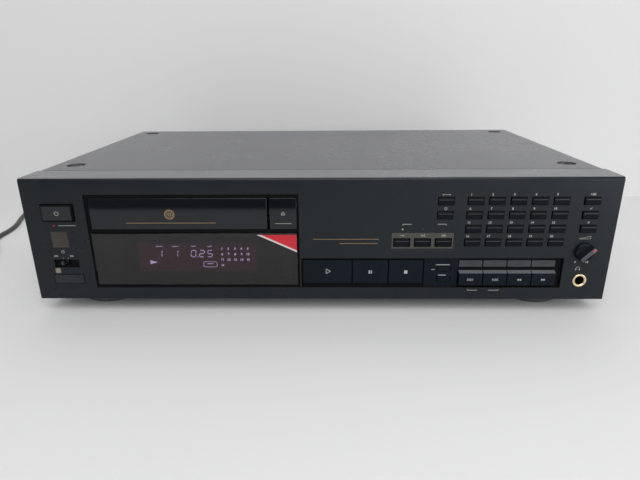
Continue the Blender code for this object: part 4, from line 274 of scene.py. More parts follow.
def cap_shell(centre, size, corner, front, ease, rows, relief=None, counts=(7, 7), lines=()):
    """A pressed or moulded cap that faces -Y, as one closed shell.

    Its face is a grid over a rounded rectangle. Column x runs up and down to
    height/2 - corner + sqrt(corner^2 - over^2), where over is how far x lies past the
    corner's centre. The face's depth is front, plus relief(x, z), plus a quarter circle of
    radius ease near the rim: ease * (1 - sqrt(1 - (1 - d/ease)^2)), d from the rim. The
    rim is then carried back through rows of (x scale, z scale, depth).
    """
    width, height = size
    x = spread(width, ease, corner, counts[0])
    over = np.clip(np.abs(x) - (width / 2 - corner), 0, corner)
    reach = height / 2 - corner + np.sqrt(corner ** 2 - over ** 2)
    z = np.concatenate((spread(height, ease, corner, counts[1]), lines))
    share = np.unique(np.round(z, 7)) / (height / 2)
    grid_x = np.broadcast_to(x[:, None], (len(x), len(share)))
    grid_z = reach[:, None] * share
    past_x = np.abs(grid_x) - (width / 2 - corner)
    past_z = np.abs(grid_z) - (height / 2 - corner)
    outside = np.hypot(np.maximum(past_x, 0), np.maximum(past_z, 0))
    inward = corner - outside - np.minimum(np.maximum(past_x, past_z), 0)
    rim = 1 - np.clip(inward / ease, 0, 1)
    depth = front + ease * (1 - np.sqrt(1 - rim ** 2))
    if relief:
        depth = depth + relief(grid_x, grid_z)
    face = np.stack((grid_x, depth, grid_z), -1).reshape(-1, 3)
    index = np.arange(len(face)).reshape(grid_x.shape)
    loop = np.concatenate((index[:-1, 0], index[-1, :-1], index[:0:-1, -1], index[0, :0:-1]))
    rows = np.asarray(rows, float)
    rings = face[loop] * np.insert(rows[:, :2], 1, 0, axis=1)[:, None]
    rings[..., 1] = rows[:, 2:]
    carried = len(face) + np.arange(len(rows) * len(loop)).reshape(len(rows), -1)
    edges = np.concatenate((loop[None], carried))
    side = edges.ravel()[grid_faces(len(edges), len(loop), False, True)]
    faces = np.concatenate((grid_faces(*grid_x.shape), side)).tolist() + [edges[-1].tolist()]
    points = np.concatenate((face, rings.reshape(-1, 3)))
    return points + (centre[0], 0, centre[1]), faces


def sweep(path, section):
    """A tube: section (across, up) carried along a path whose sides are level. The side
    is the tangent crossed with +Z, and the tube's own up is the side crossed with it."""
    tangent = np.gradient(path, axis=0)
    tangent /= np.linalg.norm(tangent, axis=1, keepdims=True)
    side = np.cross(tangent, [0, 0, 1.0])
    side /= np.linalg.norm(side, axis=1, keepdims=True)
    up = np.cross(side, tangent)
    across = section[None, :, :1] * side[:, None] + section[None, :, 1:] * up[:, None]
    return closed_rings(path[:, None] + across)


def plate(outline, front, back):
    """A flat mark or plate on the front: an outline (x, z) carried from front to back."""
    depth = np.array([front, back])[:, None]
    return closed_rings(on_axis(outline[:, 0], outline[:, 1], depth))


def band(outer, inner, front, back):
    """A frame between two outlines (x, z) of as many points, from front to back."""
    loops = np.stack((outer, outer, inner, inner))
    depth = np.array([front, back, back, front])[:, None]
    return closed_rings(on_axis(loops[..., 0], loops[..., 1], depth), True)


def pierced_plate(low, high, holes, front, back):
    """A flat plate on the front with square holes, each (left, low, right, high).

    The edges of the plate and the holes cut it into cells. Cells inside a hole are left
    out, the others get a front and a back, and a wall stands where a cell borders none.
    """
    x = np.unique(np.concatenate(((low[0], high[0]), holes[:, 0], holes[:, 2])))
    z = np.unique(np.concatenate(((low[1], high[1]), holes[:, 1], holes[:, 3])))
    mid_x, mid_z = ((x[1:] + x[:-1]) / 2)[:, None, None], ((z[1:] + z[:-1]) / 2)[:, None]
    inside = (mid_x > holes[:, 0]) & (mid_x < holes[:, 2])
    solid = ~(inside & (mid_z > holes[:, 1]) & (mid_z < holes[:, 3])).any(-1)
    index = np.arange(len(x) * len(z) * 2).reshape(len(x), len(z), 2)
    faces = []
    for k in (0, 1):
        quad = index[:-1, :-1, k], index[1:, :-1, k], index[1:, 1:, k], index[:-1, 1:, k]
        faces.append(np.stack(quad, -1)[solid])
    for cells, at in ((solid, index), (solid.T, index.swapaxes(0, 1))):
        edge = np.diff(np.pad(cells, ((1, 1), (0, 0))), axis=0)
        quad = at[:, :-1, 0], at[:, 1:, 0], at[:, 1:, 1], at[:, :-1, 1]
        faces.append(np.stack(quad, -1)[edge])
    depth = np.array([front, back])
    points = on_axis(x[:, None, None], z[None, :, None], depth).reshape(-1, 3)
    used, faces = np.unique(np.concatenate(faces), return_inverse=True)
    return points[used], faces.reshape(-1, 4).tolist()


def holes_at(places_x, places_z, half_x, half_z):
    """Square holes (left, low, right, high) round every pair of an x and a z."""
    return np.array([(x - half_x, z - half_z, x + half_x, z + half_z)
                     for x in places_x for z in places_z])


# Flat marks are outlines (x, z) in millimetres round their own middle.

def line(width, *points):
    """Straight strokes of one width from point to point."""
    strokes = []
    for start, end in zip(np.array(points[:-1], float), np.array(points[1:], float)):
        along = (end - start) / np.linalg.norm(end - start)
        across = np.array([-along[1], along[0]]) * width / 2
        strokes.append(np.stack((start - across, end - across, end + across, start + across)))
    return strokes


def arc(radius, start_deg, end_deg, width):
    """Part of a ring: an outer arc, and an inner one back."""
    angle = np.radians(np.linspace(start_deg, end_deg, 33))
    unit = np.stack((np.cos(angle), np.sin(angle)), -1)
    return [np.concatenate((unit * (radius + width / 2), unit[::-1] * (radius - width / 2)))]


def circle(radius, width):
    """A ring that all but closes."""
    return arc(radius, 0, 359.9, width)


def pointer(x, size, way=1, z=0.0):
    """A filled triangle that points along X."""
    tip = way * size * 0.85 / 2
    return [np.array([(x - tip, z - size / 2), (x - tip, z + size / 2), (x + tip, z)])]


def open_pointer(x, size, way, width):
    """The outline of such a triangle, as three lines."""
    corners = pointer(x, size, way)[0]
    return line(width, *corners, corners[0])


def bracket(half, drop, part):
    """Two short level lines with a gap between them and their outer ends turned."""
    gap = half - part * 2 * half
    return (line(0.34, (-half, drop), (-half, 0), (-gap, 0))
            + line(0.34, (half, drop), (half, 0), (gap, 0)))


def clock_mark(size):
    """A ring with two hands."""
    hands = line(0.22, (0, size * 0.33), (0, 0), (size * 0.24, -size * 0.08))
    return circle(size / 2, 0.22) + hands


def headphone_mark(size):
    """A bow with a pad at each end."""
    pad = rounded_rectangle(size * 0.24, size * 0.42, size * 0.1, 3)
    pads = [pad + (side * size * 0.42, -size * 0.22) for side in (-1, 1)]
    return arc(size * 0.42, 0, 180, 0.26) + pads


def lay(marks, middle, front, back):
    """Flat marks laid on the front round a place, as closed shells."""
    return [plate(mark * MM + middle, front, back) for mark in marks]


def make_piece(name, shell, smooth_deg=38):
    """A mesh object from a shell. Doubles are merged, and edges past an angle stay sharp."""
    points, faces = shell
    mesh = bpy.data.meshes.new(name)
    mesh.from_pydata(points.tolist(), [], faces)
    bm = bmesh.new()
    bm.from_mesh(mesh)
    bmesh.ops.remove_doubles(bm, verts=bm.verts, dist=1e-7)
    bmesh.ops.recalc_face_normals(bm, faces=bm.faces)
    bm.to_mesh(mesh)
    bm.free()
    mesh.shade_smooth()
    mesh.set_sharp_from_angle(angle=math.radians(smooth_deg))
    return in_scene(name, mesh)


def in_scene(name, data):
    """An object for a mesh, a lamp or the camera, linked to the scene."""
    made = bpy.data.objects.new(name, data)
    bpy.context.scene.collection.objects.link(made)
    return made


def settle(piece, body, slot, look, *nodes):
    """Gives a piece its finish and the body that carries it, and hides what it replaces. Its slot
    is not used.
    """
    piece.data.materials.clear()
    piece.data.materials.append(finish(look))
    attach(piece, body)
    if nodes:
        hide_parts(*nodes)
    return piece


def add_piece(name, shells, body, slot, look, *nodes, smooth=38):
    """Makes a piece of one shell, or of a list of them, and settles it."""
    shell = joined(*shells) if isinstance(shells, list) else shells
    return settle(make_piece(name, shell, smooth), body, slot, look, *nodes)


def body_of(node):
    """The body that carries a solid."""
    return frame["nodes"][node]["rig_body"]


def box_of(node):
    """A solid's lowest and highest corner, and its middle (x, z) as the front shows it."""
    low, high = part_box(node)
    return low, high, ((low.x + high.x) / 2, (low.z + high.z) / 2)


def eased(node, slot, look, width, segments=2):
    """A piece from a copy of a solid: its doubles are merged, its flat faces joined as far
    as they stay convex, and its edges rounded by a Bevel, with normals weighted by face
    area so that flat faces look flat."""
    bm = bmesh.new()
    bm.from_mesh(frame["nodes"][node].data)
    bmesh.ops.remove_doubles(bm, verts=bm.verts, dist=1e-6)
    bmesh.ops.dissolve_limit(bm, angle_limit=math.radians(1), verts=bm.verts, edges=bm.edges)
    bmesh.ops.connect_verts_concave(bm, faces=bm.faces)
    mesh = bpy.data.meshes.new(node + "_fine")
    bm.to_mesh(mesh)
    bm.free()
    mesh.shade_smooth()
    made = in_scene(node + "_fine", mesh)
    ease = made.modifiers.new("Ease", "BEVEL")
    ease.width = width
    ease.segments = segments
    ease.limit_method = "ANGLE"
    ease.angle_limit = math.radians(35)
    ease.use_clamp_overlap = False
    made.modifiers.new("Weigh", "WEIGHTED_NORMAL").weight = 80
    return settle(made, body_of(node), slot, look, node)


def paint(piece, *zones):
    """Gives the faces that each zone's test of (x, y, z) picks that zone's finish."""
    count = len(piece.data.polygons)
    middle = np.zeros(count * 3)
    piece.data.polygons.foreach_get("center", middle)
    x, y, z = middle.reshape(-1, 3).T
    index = np.zeros(count, np.int32)
    for test, look in zones:
        index[test(x, y, z)] = len(piece.data.materials)
        piece.data.materials.append(finish(look))
    piece.data.polygons.foreach_set("material_index", index)


def figures(text, middle, height, front, back, slant=0.0, bold=0.022):
    """Plain figures on the front as a closed shell, centred on a place (x, z).

    The built-in face's outlines are filled and given a thickness, then laid on the front:
    (x, y) goes to (x + slant * y, z), and its thickness to the depth.
    """
    curve = bpy.data.curves.new("figures", "FONT")
    curve.body = text
    curve.resolution_u = 3
    curve.offset = bold
    curve.extrude = 0.5
    made = bpy.data.objects.new("figures", curve)
    mesh = bpy.data.meshes.new_from_object(made)
    points = np.zeros(len(mesh.vertices) * 3)
    mesh.vertices.foreach_get("co", points)
    points = points.reshape(-1, 3)
    faces = [tuple(p.vertices) for p in mesh.polygons]
    bpy.data.objects.remove(made)
    bpy.data.curves.remove(curve)
    bpy.data.meshes.remove(mesh)
    low, high = points.min(0), points.max(0)
    flat = (points - (low + high) / 2) * height / (high[1] - low[1])
    depth = np.where(points[:, 2] > 0, front, back)
    x = middle[0] + flat[:, 0] + slant * flat[:, 1]
    return on_axis(x, middle[1] + flat[:, 1], depth), faces


# Shader nodes

def feed(tree, node, inputs):
    """Links or sets a node's inputs, picked by name or number."""
    for key, value in inputs.items():
        if isinstance(value, bpy.types.NodeSocket):
            tree.links.new(value, node.inputs[key])
        else:
            node.inputs[key].default_value = value


def spaced(values):
    """Inputs by their names, from arguments that have _ for a space."""
    return {key.replace("_", " "): value for key, value in values.items()}


def add_node(tree, kind, inputs=None, **settings):
    """Adds a shader node with its settings and inputs, and gives its outputs."""
    made = tree.nodes.new("ShaderNode" + kind)
    for key, value in settings.items():
        setattr(made, key, value)
    feed(tree, made, inputs or {})
    return made.outputs


def place_of(tree):
    """Where a point lies on its piece."""
    return add_node(tree, "TexCoord")["Object"]


def noise(tree, place, scale, detail, roughness=0.5):
    """Clouds between 0 and 1."""
    inputs = {"Vector": place, "Scale": scale, "Detail": detail, "Roughness": roughness}
    return add_node(tree, "TexNoise", inputs)["Fac"]


def mapped(tree, value, start, end, low=0.0, high=1.0):
    """A value whose range from start to end is carried to low to high."""
    inputs = {"Value": value, "From Min": start, "From Max": end, "To Min": low, "To Max": high}
    return add_node(tree, "MapRange", inputs)["Result"]


def maths(tree, operation, first, second, clamp=False):
    """Two values put together by one operation."""
    inputs = {0: first, 1: second}
    return add_node(tree, "Math", inputs, operation=operation, use_clamp=clamp)["Value"]


def blended(tree, share, first, second):
    """Two values mixed by a share."""
    return add_node(tree, "Mix", {0: share, 2: first, 3: second})[0]


def mixed(tree, mask, first, second):
    """Two colours mixed by a mask, each of them a socket or red, green and blue."""
    first, second = (colour if isinstance(colour, bpy.types.NodeSocket) else (*colour, 1)
                     for colour in (first, second))
    return add_node(tree, "Mix", {0: mask, 6: first, 7: second}, data_type="RGBA")[2]


def uneven(tree, mask, colour, down, up):
    """A colour that a mask swings between down times and up times itself."""
    return mixed(tree, mask, [c * down for c in colour], [min(c * up, 1) for c in colour])


def raised(tree, height, distance_mm, strength):
    """The normal of a bumped face."""
    inputs = {"Strength": strength, "Distance": distance_mm * MM, "Height": height}
    return add_node(tree, "Bump", inputs)["Normal"]


def start_group(name, given, results):
    """A new node group of values: its tree, its inputs and the node that takes its results."""
    tree = bpy.data.node_groups.new(name, "ShaderNodeTree")
    for label, value in given.items():
        tree.interface.new_socket(
            label, in_out="INPUT", socket_type="NodeSocketFloat"
        ).default_value = value
    for label in results:
        tree.interface.new_socket(label, in_out="OUTPUT", socket_type="NodeSocketFloat")
    return tree, tree.nodes.new("NodeGroupInput").outputs, tree.nodes.new("NodeGroupOutput")


def grain_group():
    """Fine moulded or sprayed grain, with a slower drift of tone over it."""
    tree, given, result = start_group(
        "Moulded grain", {"Scale": 900.0, "Drift Scale": 14.0}, ("Height", "Drift")
    )
    place = place_of(tree)
    feed(tree, result, {
        "Height": noise(tree, place, given["Scale"], 3.0, 0.6),
        "Drift": noise(tree, place, given["Drift Scale"], 4.0, 0.55),
    })
    return tree


def wear_group():
    """Where edges are rubbed: the rounded normal departs from the face's own normal."""
    tree, given, result = start_group(
        "Edge wear", {"Radius": 0.0006, "Amount": 0.4, "Scale": 120.0}, ("Mask",)
    )
    soft = add_node(tree, "Bevel", {"Radius": given["Radius"]}, samples=4)["Normal"]
    sharp = add_node(tree, "NewGeometry")["Normal"]
    along = add_node(tree, "VectorMath", {0: soft, 1: sharp}, operation="DOT_PRODUCT")["Value"]
    edge = mapped(tree, along, 0.995, 0.90)
    rub = mapped(tree, noise(tree, place_of(tree), given["Scale"], 5.0, 0.7), 0.42, 0.68)
    both = maths(tree, "MULTIPLY", edge, rub)
    feed(tree, result, {"Mask": maths(tree, "MULTIPLY", both, given["Amount"], True)})
    return tree


def dust_group():
    """A thin uneven film, and specks, on faces that look up."""
    tree, given, result = start_group(
        "Settled dust", {"Amount": 0.2, "Scale": 30.0}, ("Mask",)
    )
    place = place_of(tree)
    normal = add_node(tree, "NewGeometry")["Normal"]
    up = add_node(tree, "SeparateXYZ", {"Vector": normal})["Z"]
    film = noise(tree, place, given["Scale"], 6.0, 0.65)
    cells = add_node(tree, "TexVoronoi", {"Vector": place, "Scale": 260.0})["Distance"]
    total = maths(
        tree, "MAXIMUM", mapped(tree, film, 0.35, 0.75, 0, 0.6), mapped(tree, cells, 0.10, 0.05)
    )
    facing = maths(tree, "MULTIPLY", total, mapped(tree, up, 0.1, 0.95, 0.12))
    feed(tree, result, {"Mask": maths(tree, "MULTIPLY", facing, given["Amount"], True)})
    return tree


def brush_group():
    """Long fine lines along X, as brushing or rolling leaves them."""
    tree, given, result = start_group(
        "Brushed lines", {"Across": 1600.0, "Along": 12.0}, ("Height",)
    )
    across = given["Across"]
    scale = add_node(tree, "CombineXYZ", {"X": given["Along"], "Y": across, "Z": across})
    inputs = {0: place_of(tree), 1: scale["Vector"]}
    stretched = add_node(tree, "VectorMath", inputs, operation="MULTIPLY")["Vector"]
    feed(tree, result, {"Height": noise(tree, stretched, 1.0, 3.0)})
    return tree


GROUP_MAKERS = {
    "Moulded grain": grain_group,
    "Edge wear": wear_group,
    "Settled dust": dust_group,
    "Brushed lines": brush_group,
}


def add_group(tree, name, **values):
    """Places one of the shared effects in a material, and gives its outputs."""
    made = tree.nodes.new("ShaderNodeGroup")
    made.node_tree = bpy.data.node_groups.get(name) or GROUP_MAKERS[name]()
    feed(tree, made, spaced(values))
    return made.outputs


def start_material(name, roughness, **values):
    """A material with its Principled shader's own plain values set."""
    material = bpy.data.materials.new(name)
    material.use_nodes = True
    tree = material.node_tree
    shader = tree.nodes["Principled BSDF"]
    feed(tree, shader, {"Roughness": roughness, **spaced(values)})
    return material, tree, shader


def start_grained(name, roughness, grain, drift, **values):
    """A material started in the same way, with the grain effect placed in it."""
    material, tree, shader = start_material(name, roughness, **values)
    return material, tree, shader, add_group(
        tree, "Moulded grain", Scale=grain, Drift_Scale=drift
    )


def dusted(tree, base, amount, colour=(0.45, 0.44, 0.42), **values):
    """A colour with dust on it."""
    if not amount:
        return base
    mask = add_group(tree, "Settled dust", Amount=amount, **values)["Mask"]
    return mixed(tree, mask, base, colour)


# Finishes. A bump is in millimetres.

def moulded(name, colour, roughness, grain=900.0, bump=0.02, drift=0.16, wear=0.25, dust=0.10,
            swing=0.12, worn=(0.16, 0.16, 0.17), lines=0.0, **shader_values):
    """A plastic or painted finish: grain in its bump, drift in its colour and roughness,
    rubbed edges and settled dust."""
    material, tree, shader, grained = start_grained(
        name, roughness, grain, 14.0, **shader_values
    )
    base = uneven(tree, grained["Drift"], colour, 1 - drift, 1 + drift)
    if wear:
        base = mixed(tree, add_group(tree, "Edge wear", Amount=wear)["Mask"], base, worn)
    height = grained["Height"]
    if lines:
        height = blended(tree, lines, height, add_group(tree, "Brushed lines")["Height"])
    feed(tree, shader, {
        "Base Color": dusted(tree, base, dust),
        "Roughness": mapped(
            tree, grained["Drift"], 0.3, 0.7, roughness - swing / 2, roughness + swing / 2
        ),
        "Normal": raised(tree, height, bump, 0.6),
    })
    return material


def plain_print(name, colour, roughness):
    """Ink on a surface, a little uneven as screen printing is."""
    material, tree, shader, grained = start_grained(name, roughness, 1500.0, 220.0)
    feed(tree, shader, {"Base Color": uneven(tree, grained["Height"], colour, 0.72, 1.2)})
    return material


def lit(name, colour, strength):
    """A lit part of the display: its own light, over a dark ground."""
    material, tree, shader, grained = start_grained(
        name, 0.5, 700.0, 90.0, Base_Color=(0.01, 0.01, 0.01, 1), Emission_Strength=strength
    )
    feed(tree, shader, {"Emission Color": uneven(tree, grained["Drift"], colour, 0.8, 1.15)})
    return material


def metal(name, colour, roughness, lines=0.7, swing=0.12, dust=0.0):
    """Rolled or turned metal: brushed lines in its bump and roughness."""
    material, tree, shader, grained = start_grained(
        name, roughness, 500.0, 22.0, Metallic=1.0
    )
    brushed = add_group(tree, "Brushed lines")
    base = uneven(tree, grained["Drift"], colour, 0.86, 1.1)
    both = blended(tree, lines, grained["Height"], brushed["Height"])
    feed(tree, shader, {
        "Base Color": dusted(tree, base, dust, (0.40, 0.39, 0.37)),
        "Roughness": mapped(tree, both, 0.3, 0.7, roughness - swing / 2, roughness + swing / 2),
        "Normal": raised(tree, both, 0.01, 0.5),
    })
    return material


def window_glass(name, tint, roughness):
    """Smoked acrylic: clear through, dark by its tint, with faint smears in its gloss."""
    material, tree, shader, grained = start_grained(
        name, roughness, 320.0, 26.0, Base_Color=(*tint, 1), Transmission_Weight=1.0, IOR=1.49
    )
    feed(tree, shader, {"Roughness": mapped(tree, grained["Drift"], 0.4, 0.7, 0.01, 0.03)})
    return material


def laminate(name, colour, roughness):
    """A brown laminate with darker conductor tracks, under a thin green-brown resist."""
    material, tree, shader, grained = start_grained(name, roughness, 600.0, 30.0)
    inputs = {"Vector": place_of(tree), "Scale": 210.0}
    cells = add_node(tree, "TexVoronoi", inputs, distance="CHEBYCHEV")["Distance"]
    track = mapped(tree, cells, 0.30, 0.36)
    base = mixed(tree, track, colour, (0.060, 0.052, 0.022))
    feed(tree, shader, {
        "Base Color": mixed(tree, grained["Drift"], base, (0.090, 0.072, 0.034)),
        "Normal": raised(tree, track, 0.03, 0.5),
    })
    return material


def lead_rubber(name, colour, roughness):
    """Rubber of the lead, with scuffs that follow its length."""
    material, tree, shader = start_material(name, roughness)
    place = add_node(tree, "UVMap", uv_map="Length")["UV"]
    scuffs = noise(tree, place, 60.0, 6.0, 0.7)
    base = uneven(tree, scuffs, colour, 0.78, 1.22)
    feed(tree, shader, {
        "Base Color": dusted(tree, base, 0.30, (0.30, 0.29, 0.27), Scale=60.0),
        "Roughness": mapped(tree, scuffs, 0.3, 0.7, 0.42, 0.62),
        "Normal": raised(tree, scuffs, 0.05, 0.4),
    })
    return material


def pale_surface(name, colour, roughness):
    """Pale matt surface of the stage, faintly mottled; from behind it is clear."""
    material, tree, shader, grained = start_grained(name, roughness, 60.0, 2.5)
    feed(tree, shader, {
        "Base Color": uneven(tree, grained["Drift"], colour, 0.96, 1.04),
        "Normal": raised(tree, grained["Height"], 0.4, 0.2),
    })
    behind = add_node(tree, "NewGeometry")["Backfacing"]
    clear = add_node(tree, "BsdfTransparent")["BSDF"]
    both = add_node(tree, "MixShader", {0: behind, 1: shader.outputs["BSDF"], 2: clear})
    feed(tree, tree.nodes["Material Output"], {"Surface": both["Shader"]})
    return material


# Each finish: its maker, its colour or the name of its setting, its roughness (or how
# strongly it glows) and the maker's other values.

KEY_WORN = (0.10, 0.11, 0.13)
FINISHES = {
    "Panel plastic": (moulded, "panel", 0.30, dict(
        bump=0.008, wear=0.04, dust=0.08, lines=0.35, Specular_IOR_Level=0.27,
        Specular_Tint=(0.86, 0.94, 1.0, 1.0))),
    "Cover enamel": (moulded, "cover", 0.28, dict(
        grain=700.0, bump=0.003, wear=0.06, dust=0.02, drift=0.06, swing=0.03)),
    "Gloss black": (moulded, "gloss", 0.15, dict(
        bump=0.003, wear=0.0, dust=0.05, swing=0.04, Specular_IOR_Level=0.42,
        Specular_Tint=(0.93, 0.97, 1.0, 1.0))),
    "Smoked acrylic": (window_glass, "smoke", 0.06, {}),
    "Key plastic": (moulded, "key", 0.22, dict(
        bump=0.006, wear=0.03, dust=0.05, worn=KEY_WORN, Specular_IOR_Level=0.13,
        Specular_Tint=(0.80, 0.92, 1.0, 1.0))),
    "Grey key plastic": (moulded, "slim_key", 0.34, dict(
        bump=0.006, wear=0.04, dust=0.05, Specular_IOR_Level=0.35)),
    # Painted shade: flat black with almost no gloss, for recesses, gaps and rims
    "Recess black": (moulded, (0.0030, 0.0033, 0.0040), 0.60, dict(
        wear=0.0, dust=0.03, Specular_IOR_Level=0.08)),
    # Painted highlight: a light grey for the sloping upper part of the skip keys
    "Key ridge": (moulded, (0.115, 0.122, 0.136), 0.30, dict(bump=0.006, wear=0.0, dust=0.05)),
    # Painted highlight: a mid grey for the knob grip's crest
    "Knob crest": (moulded, (0.047, 0.050, 0.058), 0.30, dict(bump=0.006, wear=0.0, dust=0.05)),
    "Pad plastic": (moulded, (0.0030, 0.0042, 0.0072), 0.24, dict(
        bump=0.006, wear=0.03, dust=0.04, worn=KEY_WORN, Specular_IOR_Level=0.09)),
    # Painted shade: near black for the keys' upper part above the crease
    "Key shade": (moulded, (0.0035, 0.0042, 0.0060), 0.35, dict(
        wear=0.0, dust=0.03, Specular_IOR_Level=0.10)),
    # Painted light: a light grey for the panel's top ledge, with dust on it
    "Panel ledge": (moulded, (0.147, 0.150, 0.163), 0.30, dict(bump=0.008, dust=0.20, lines=0.5)),
    # Painted highlight: a lighter line along each key's crease
    "Rubbed line": (moulded, (0.030, 0.035, 0.045), 0.30, dict(wear=0.0, dust=0.0)),
    "Tube glass": (moulded, (0.012, 0.011, 0.013), 0.20, dict(
        wear=0.0, dust=0.0, Specular_IOR_Level=0.3)),
    "Mode plate": (moulded, "plate", 0.45, dict(bump=0.006, wear=0.15, dust=0.05)),
    "Dark lamp": (moulded, (0.03, 0.035, 0.03), 0.25, dict(wear=0.0)),
    "Sensor patch": (moulded, (0.017, 0.015, 0.013), 0.35, dict(
        grain=1300.0, bump=0.05, wear=0.0)),
    "Satin insert": (moulded, (0.0165, 0.0185, 0.0220), 0.30, dict(
        bump=0.006, wear=0.04, Specular_IOR_Level=0.27)),
    "Foot plastic": (moulded, "foot", 0.26, dict(wear=0.2, dust=0.12, swing=0.1)),
    "Sole rubber": (moulded, (0.020, 0.020, 0.021), 0.70, dict(wear=0.0, dust=0.2, bump=0.05)),
    "Tray plastic": (moulded, (0.014, 0.015, 0.017), 0.42, dict(wear=0.2)),
    "White acetal": (moulded, (0.66, 0.65, 0.61), 0.38, dict(
        wear=0.0, dust=0.15, drift=0.05, Subsurface_Weight=0.05)),
    "Grey plastic": (moulded, (0.16, 0.16, 0.17), 0.42, dict(wear=0.2)),
    "Belt rubber": (moulded, (0.012, 0.012, 0.013), 0.62, dict(wear=0.0, bump=0.03)),
    "Socket white": (moulded, (0.60, 0.59, 0.56), 0.35, dict(wear=0.0)),
    "Socket red": (moulded, (0.40, 0.015, 0.015), 0.35, dict(wear=0.0)),
    "Pale print": (plain_print, "ink", 0.55, {}),
    "Dark print": (plain_print, (0.004, 0.004, 0.005), 0.55, {}),
    "Patch dots": (plain_print, (0.075, 0.055, 0.035), 0.5, {}),
    "Pale square": (plain_print, (0.22, 0.19, 0.15), 0.5, {}),
    "Gold print": (plain_print, (0.34, 0.235, 0.10), 0.45, {}),
    "Sticker red": (plain_print, "sticker", 0.30, {}),
    "Sticker white": (plain_print, (0.62, 0.60, 0.56), 0.35, {}),
    "Knob tip": (plain_print, (0.50, 0.05, 0.10), 0.35, {}),
    "Lit figures": (lit, "glow", 4.2, {}),
    "Display ground": (lit, "haze", 0.22, {}),
    "Green lamp": (lit, (0.45, 0.75, 0.55), 0.7, {}),
    "Gold plate": (metal, "gold", 0.20, dict(lines=0.3, swing=0.08)),
    "Zinc sheet": (metal, "steel", 0.36, dict(dust=0.12)),
    "Bright steel": (metal, (0.62, 0.62, 0.63), 0.22, {}),
    "Black screw": (metal, (0.045, 0.045, 0.05), 0.34, dict(lines=0.2)),
    "Transformer laminate": (metal, (0.26, 0.25, 0.24), 0.46, dict(dust=0.25)),
    "Board laminate": (laminate, (0.105, 0.080, 0.030), 0.42, {}),
    "Lead rubber": (lead_rubber, "rubber", 0.50, {}),
}


def finish(name):
    """One of the player's finishes, made the first time that it is asked for."""
    made = bpy.data.materials.get(name)
    if made:
        return made
    maker, colour, roughness, values = FINISHES[name]
    if isinstance(colour, str):
        colour = getattr(bpy.context.scene.player_finishes, colour)
    return maker(name, colour, roughness, **values)


# Where things are on the front, and the stem and flange behind every key

LIP = 0.8 * MM
FLANGE_FRONT = FACE + 4.5 * MM
FLANGE_BACK = FLANGE_FRONT + 1.2 * MM
STEM_END = FACE + 7.2 * MM
STEM = 3.0 * MM


def on_front(x_mm, z_mm):
    """A place on the front, from millimetres right of the middle and above the lower edge."""
    return np.array([x_mm * MM, BASE + z_mm * MM])


def row_z(count):
    """Height of a row of the key pad in millimetres."""
    return TOP_ROW - ROW * count


def cap_of(node, lip_x=LIP):
    """Middle, width and height of a key's cap, without its flange, and its front's depth."""
    low, high, middle = box_of(node)
    return middle, (high.x - low.x - 2 * lip_x, high.z - low.z - 2 * LIP), low.y


def key_shell(middle, size, front, corner, ease, relief, lip_x=0.0, counts=(9, 10), lines=()):
    """A key: cap, flange and stem as one closed shell."""
    width, height = size
    stem = STEM / width, STEM / height
    flange = 1 + 2 * lip_x / width, 1 + 2 * LIP / height
    rows = [(1, 1, FLANGE_FRONT), (*flange, FLANGE_FRONT), (*flange, FLANGE_BACK),
            (*stem, FLANGE_BACK), (*stem, STEM_END)]
    return cap_shell(middle, size, corner, front, ease, rows, relief, counts, lines)


def smooth_step(share):
    """Eases from 0 to 1 as share squared times (3 - 2 share)."""
    share = np.clip(share, 0, 1)
    return share * share * (3 - 2 * share)


class PLAYER_OT_camera(bpy.types.Operator):
    """Places the camera where the player is seen a little from above"""

    bl_idname = "player.camera"
    bl_label = "Camera"

    eye = (0.008698, -0.486726, 0.184335)
    yaw, pitch, roll = 0.021, 0.341, -0.008

    def execute(self, context):
        """Turns the camera by its roll, pitch and yaw, then moves it to the eye."""
        data = bpy.data.cameras.new("camera")
        data.sensor_width = 36
        data.lens = context.scene.player_stage.lens
        data.clip_start = 0.01
        camera = in_scene("camera", data)
        tilt = Matrix.Rotation(math.pi / 2 - self.pitch, 4, "X")
        turn = Matrix.Rotation(self.yaw, 4, "Z") @ tilt @ Matrix.Rotation(self.roll, 4, "Z")
        camera.matrix_world = Matrix.Translation(self.eye) @ turn
        context.scene.camera = camera
        return {"FINISHED"}


# The lead's route: how far to the left of where it leaves its bush, how far back, and its
# height as a share of the drop to the floor.

LEAD_EXIT = np.array([-0.1400, 0.1441, 0.0340])
LEAD_FLOOR = 0.0024
LEAD_ROUTE = np.array([
    (0.0000, 0.0119, 0.937), (0.0005, 0.0209, 0.715), (0.0025, 0.0284, 0.430),
    (0.0070, 0.0344, 0.177), (0.0150, 0.0389, 0.035), (0.0280, 0.0414, 0),
    (0.0500, 0.0414, 0), (0.0900, 0.0384, 0), (0.1300, 0.0364, 0), (0.1700, 0.0364, 0),
    (0.2000, 0.0374, 0), (0.2200, 0.0354, 0), (0.2360, 0.0270, 0), (0.2440, 0.0115, 0),
    (0.2435, -0.0061, 0), (0.2368, -0.0290, 0), (0.2319, -0.0438, 0), (0.2256, -0.0604, 0),
    (0.2220, -0.0741, 0), (0.2201, -0.0881, 0), (0.2194, -0.1039, 0), (0.2155, -0.1190, 0),
    (0.2040, -0.1370, 0), (0.1925, -0.1550, 0),
])
COIL_MIDDLE = np.array([-0.3635, -0.0380])
COIL_INNER = 0.0186
COIL_SPACING = 0.0051
COIL_TURNS = 7
COIL_TAIL = 0.0400
PLUG_MIDDLE = 0.0061


def smooth_line(points, steps):
    """Catmull-Rom curve through points: for each span a to d,
    (2b + (c - a)t + (2a - 5b + 4c - d)t^2 + (3b - a - 3c + d)t^3) / 2."""
    a, b, c, d = points[:-3, None], points[1:-2, None], points[2:-1, None], points[3:, None]
    t = np.linspace(0, 1, steps, endpoint=False)[None, :, None]
    curve = 2 * b + (c - a) * t + (2 * a - 5 * b + 4 * c - d) * t ** 2
    curve = (curve + (3 * b - a - 3 * c + d) * t ** 3) / 2
    return np.concatenate((points[:1], curve.reshape(-1, 3), points[-2:]))


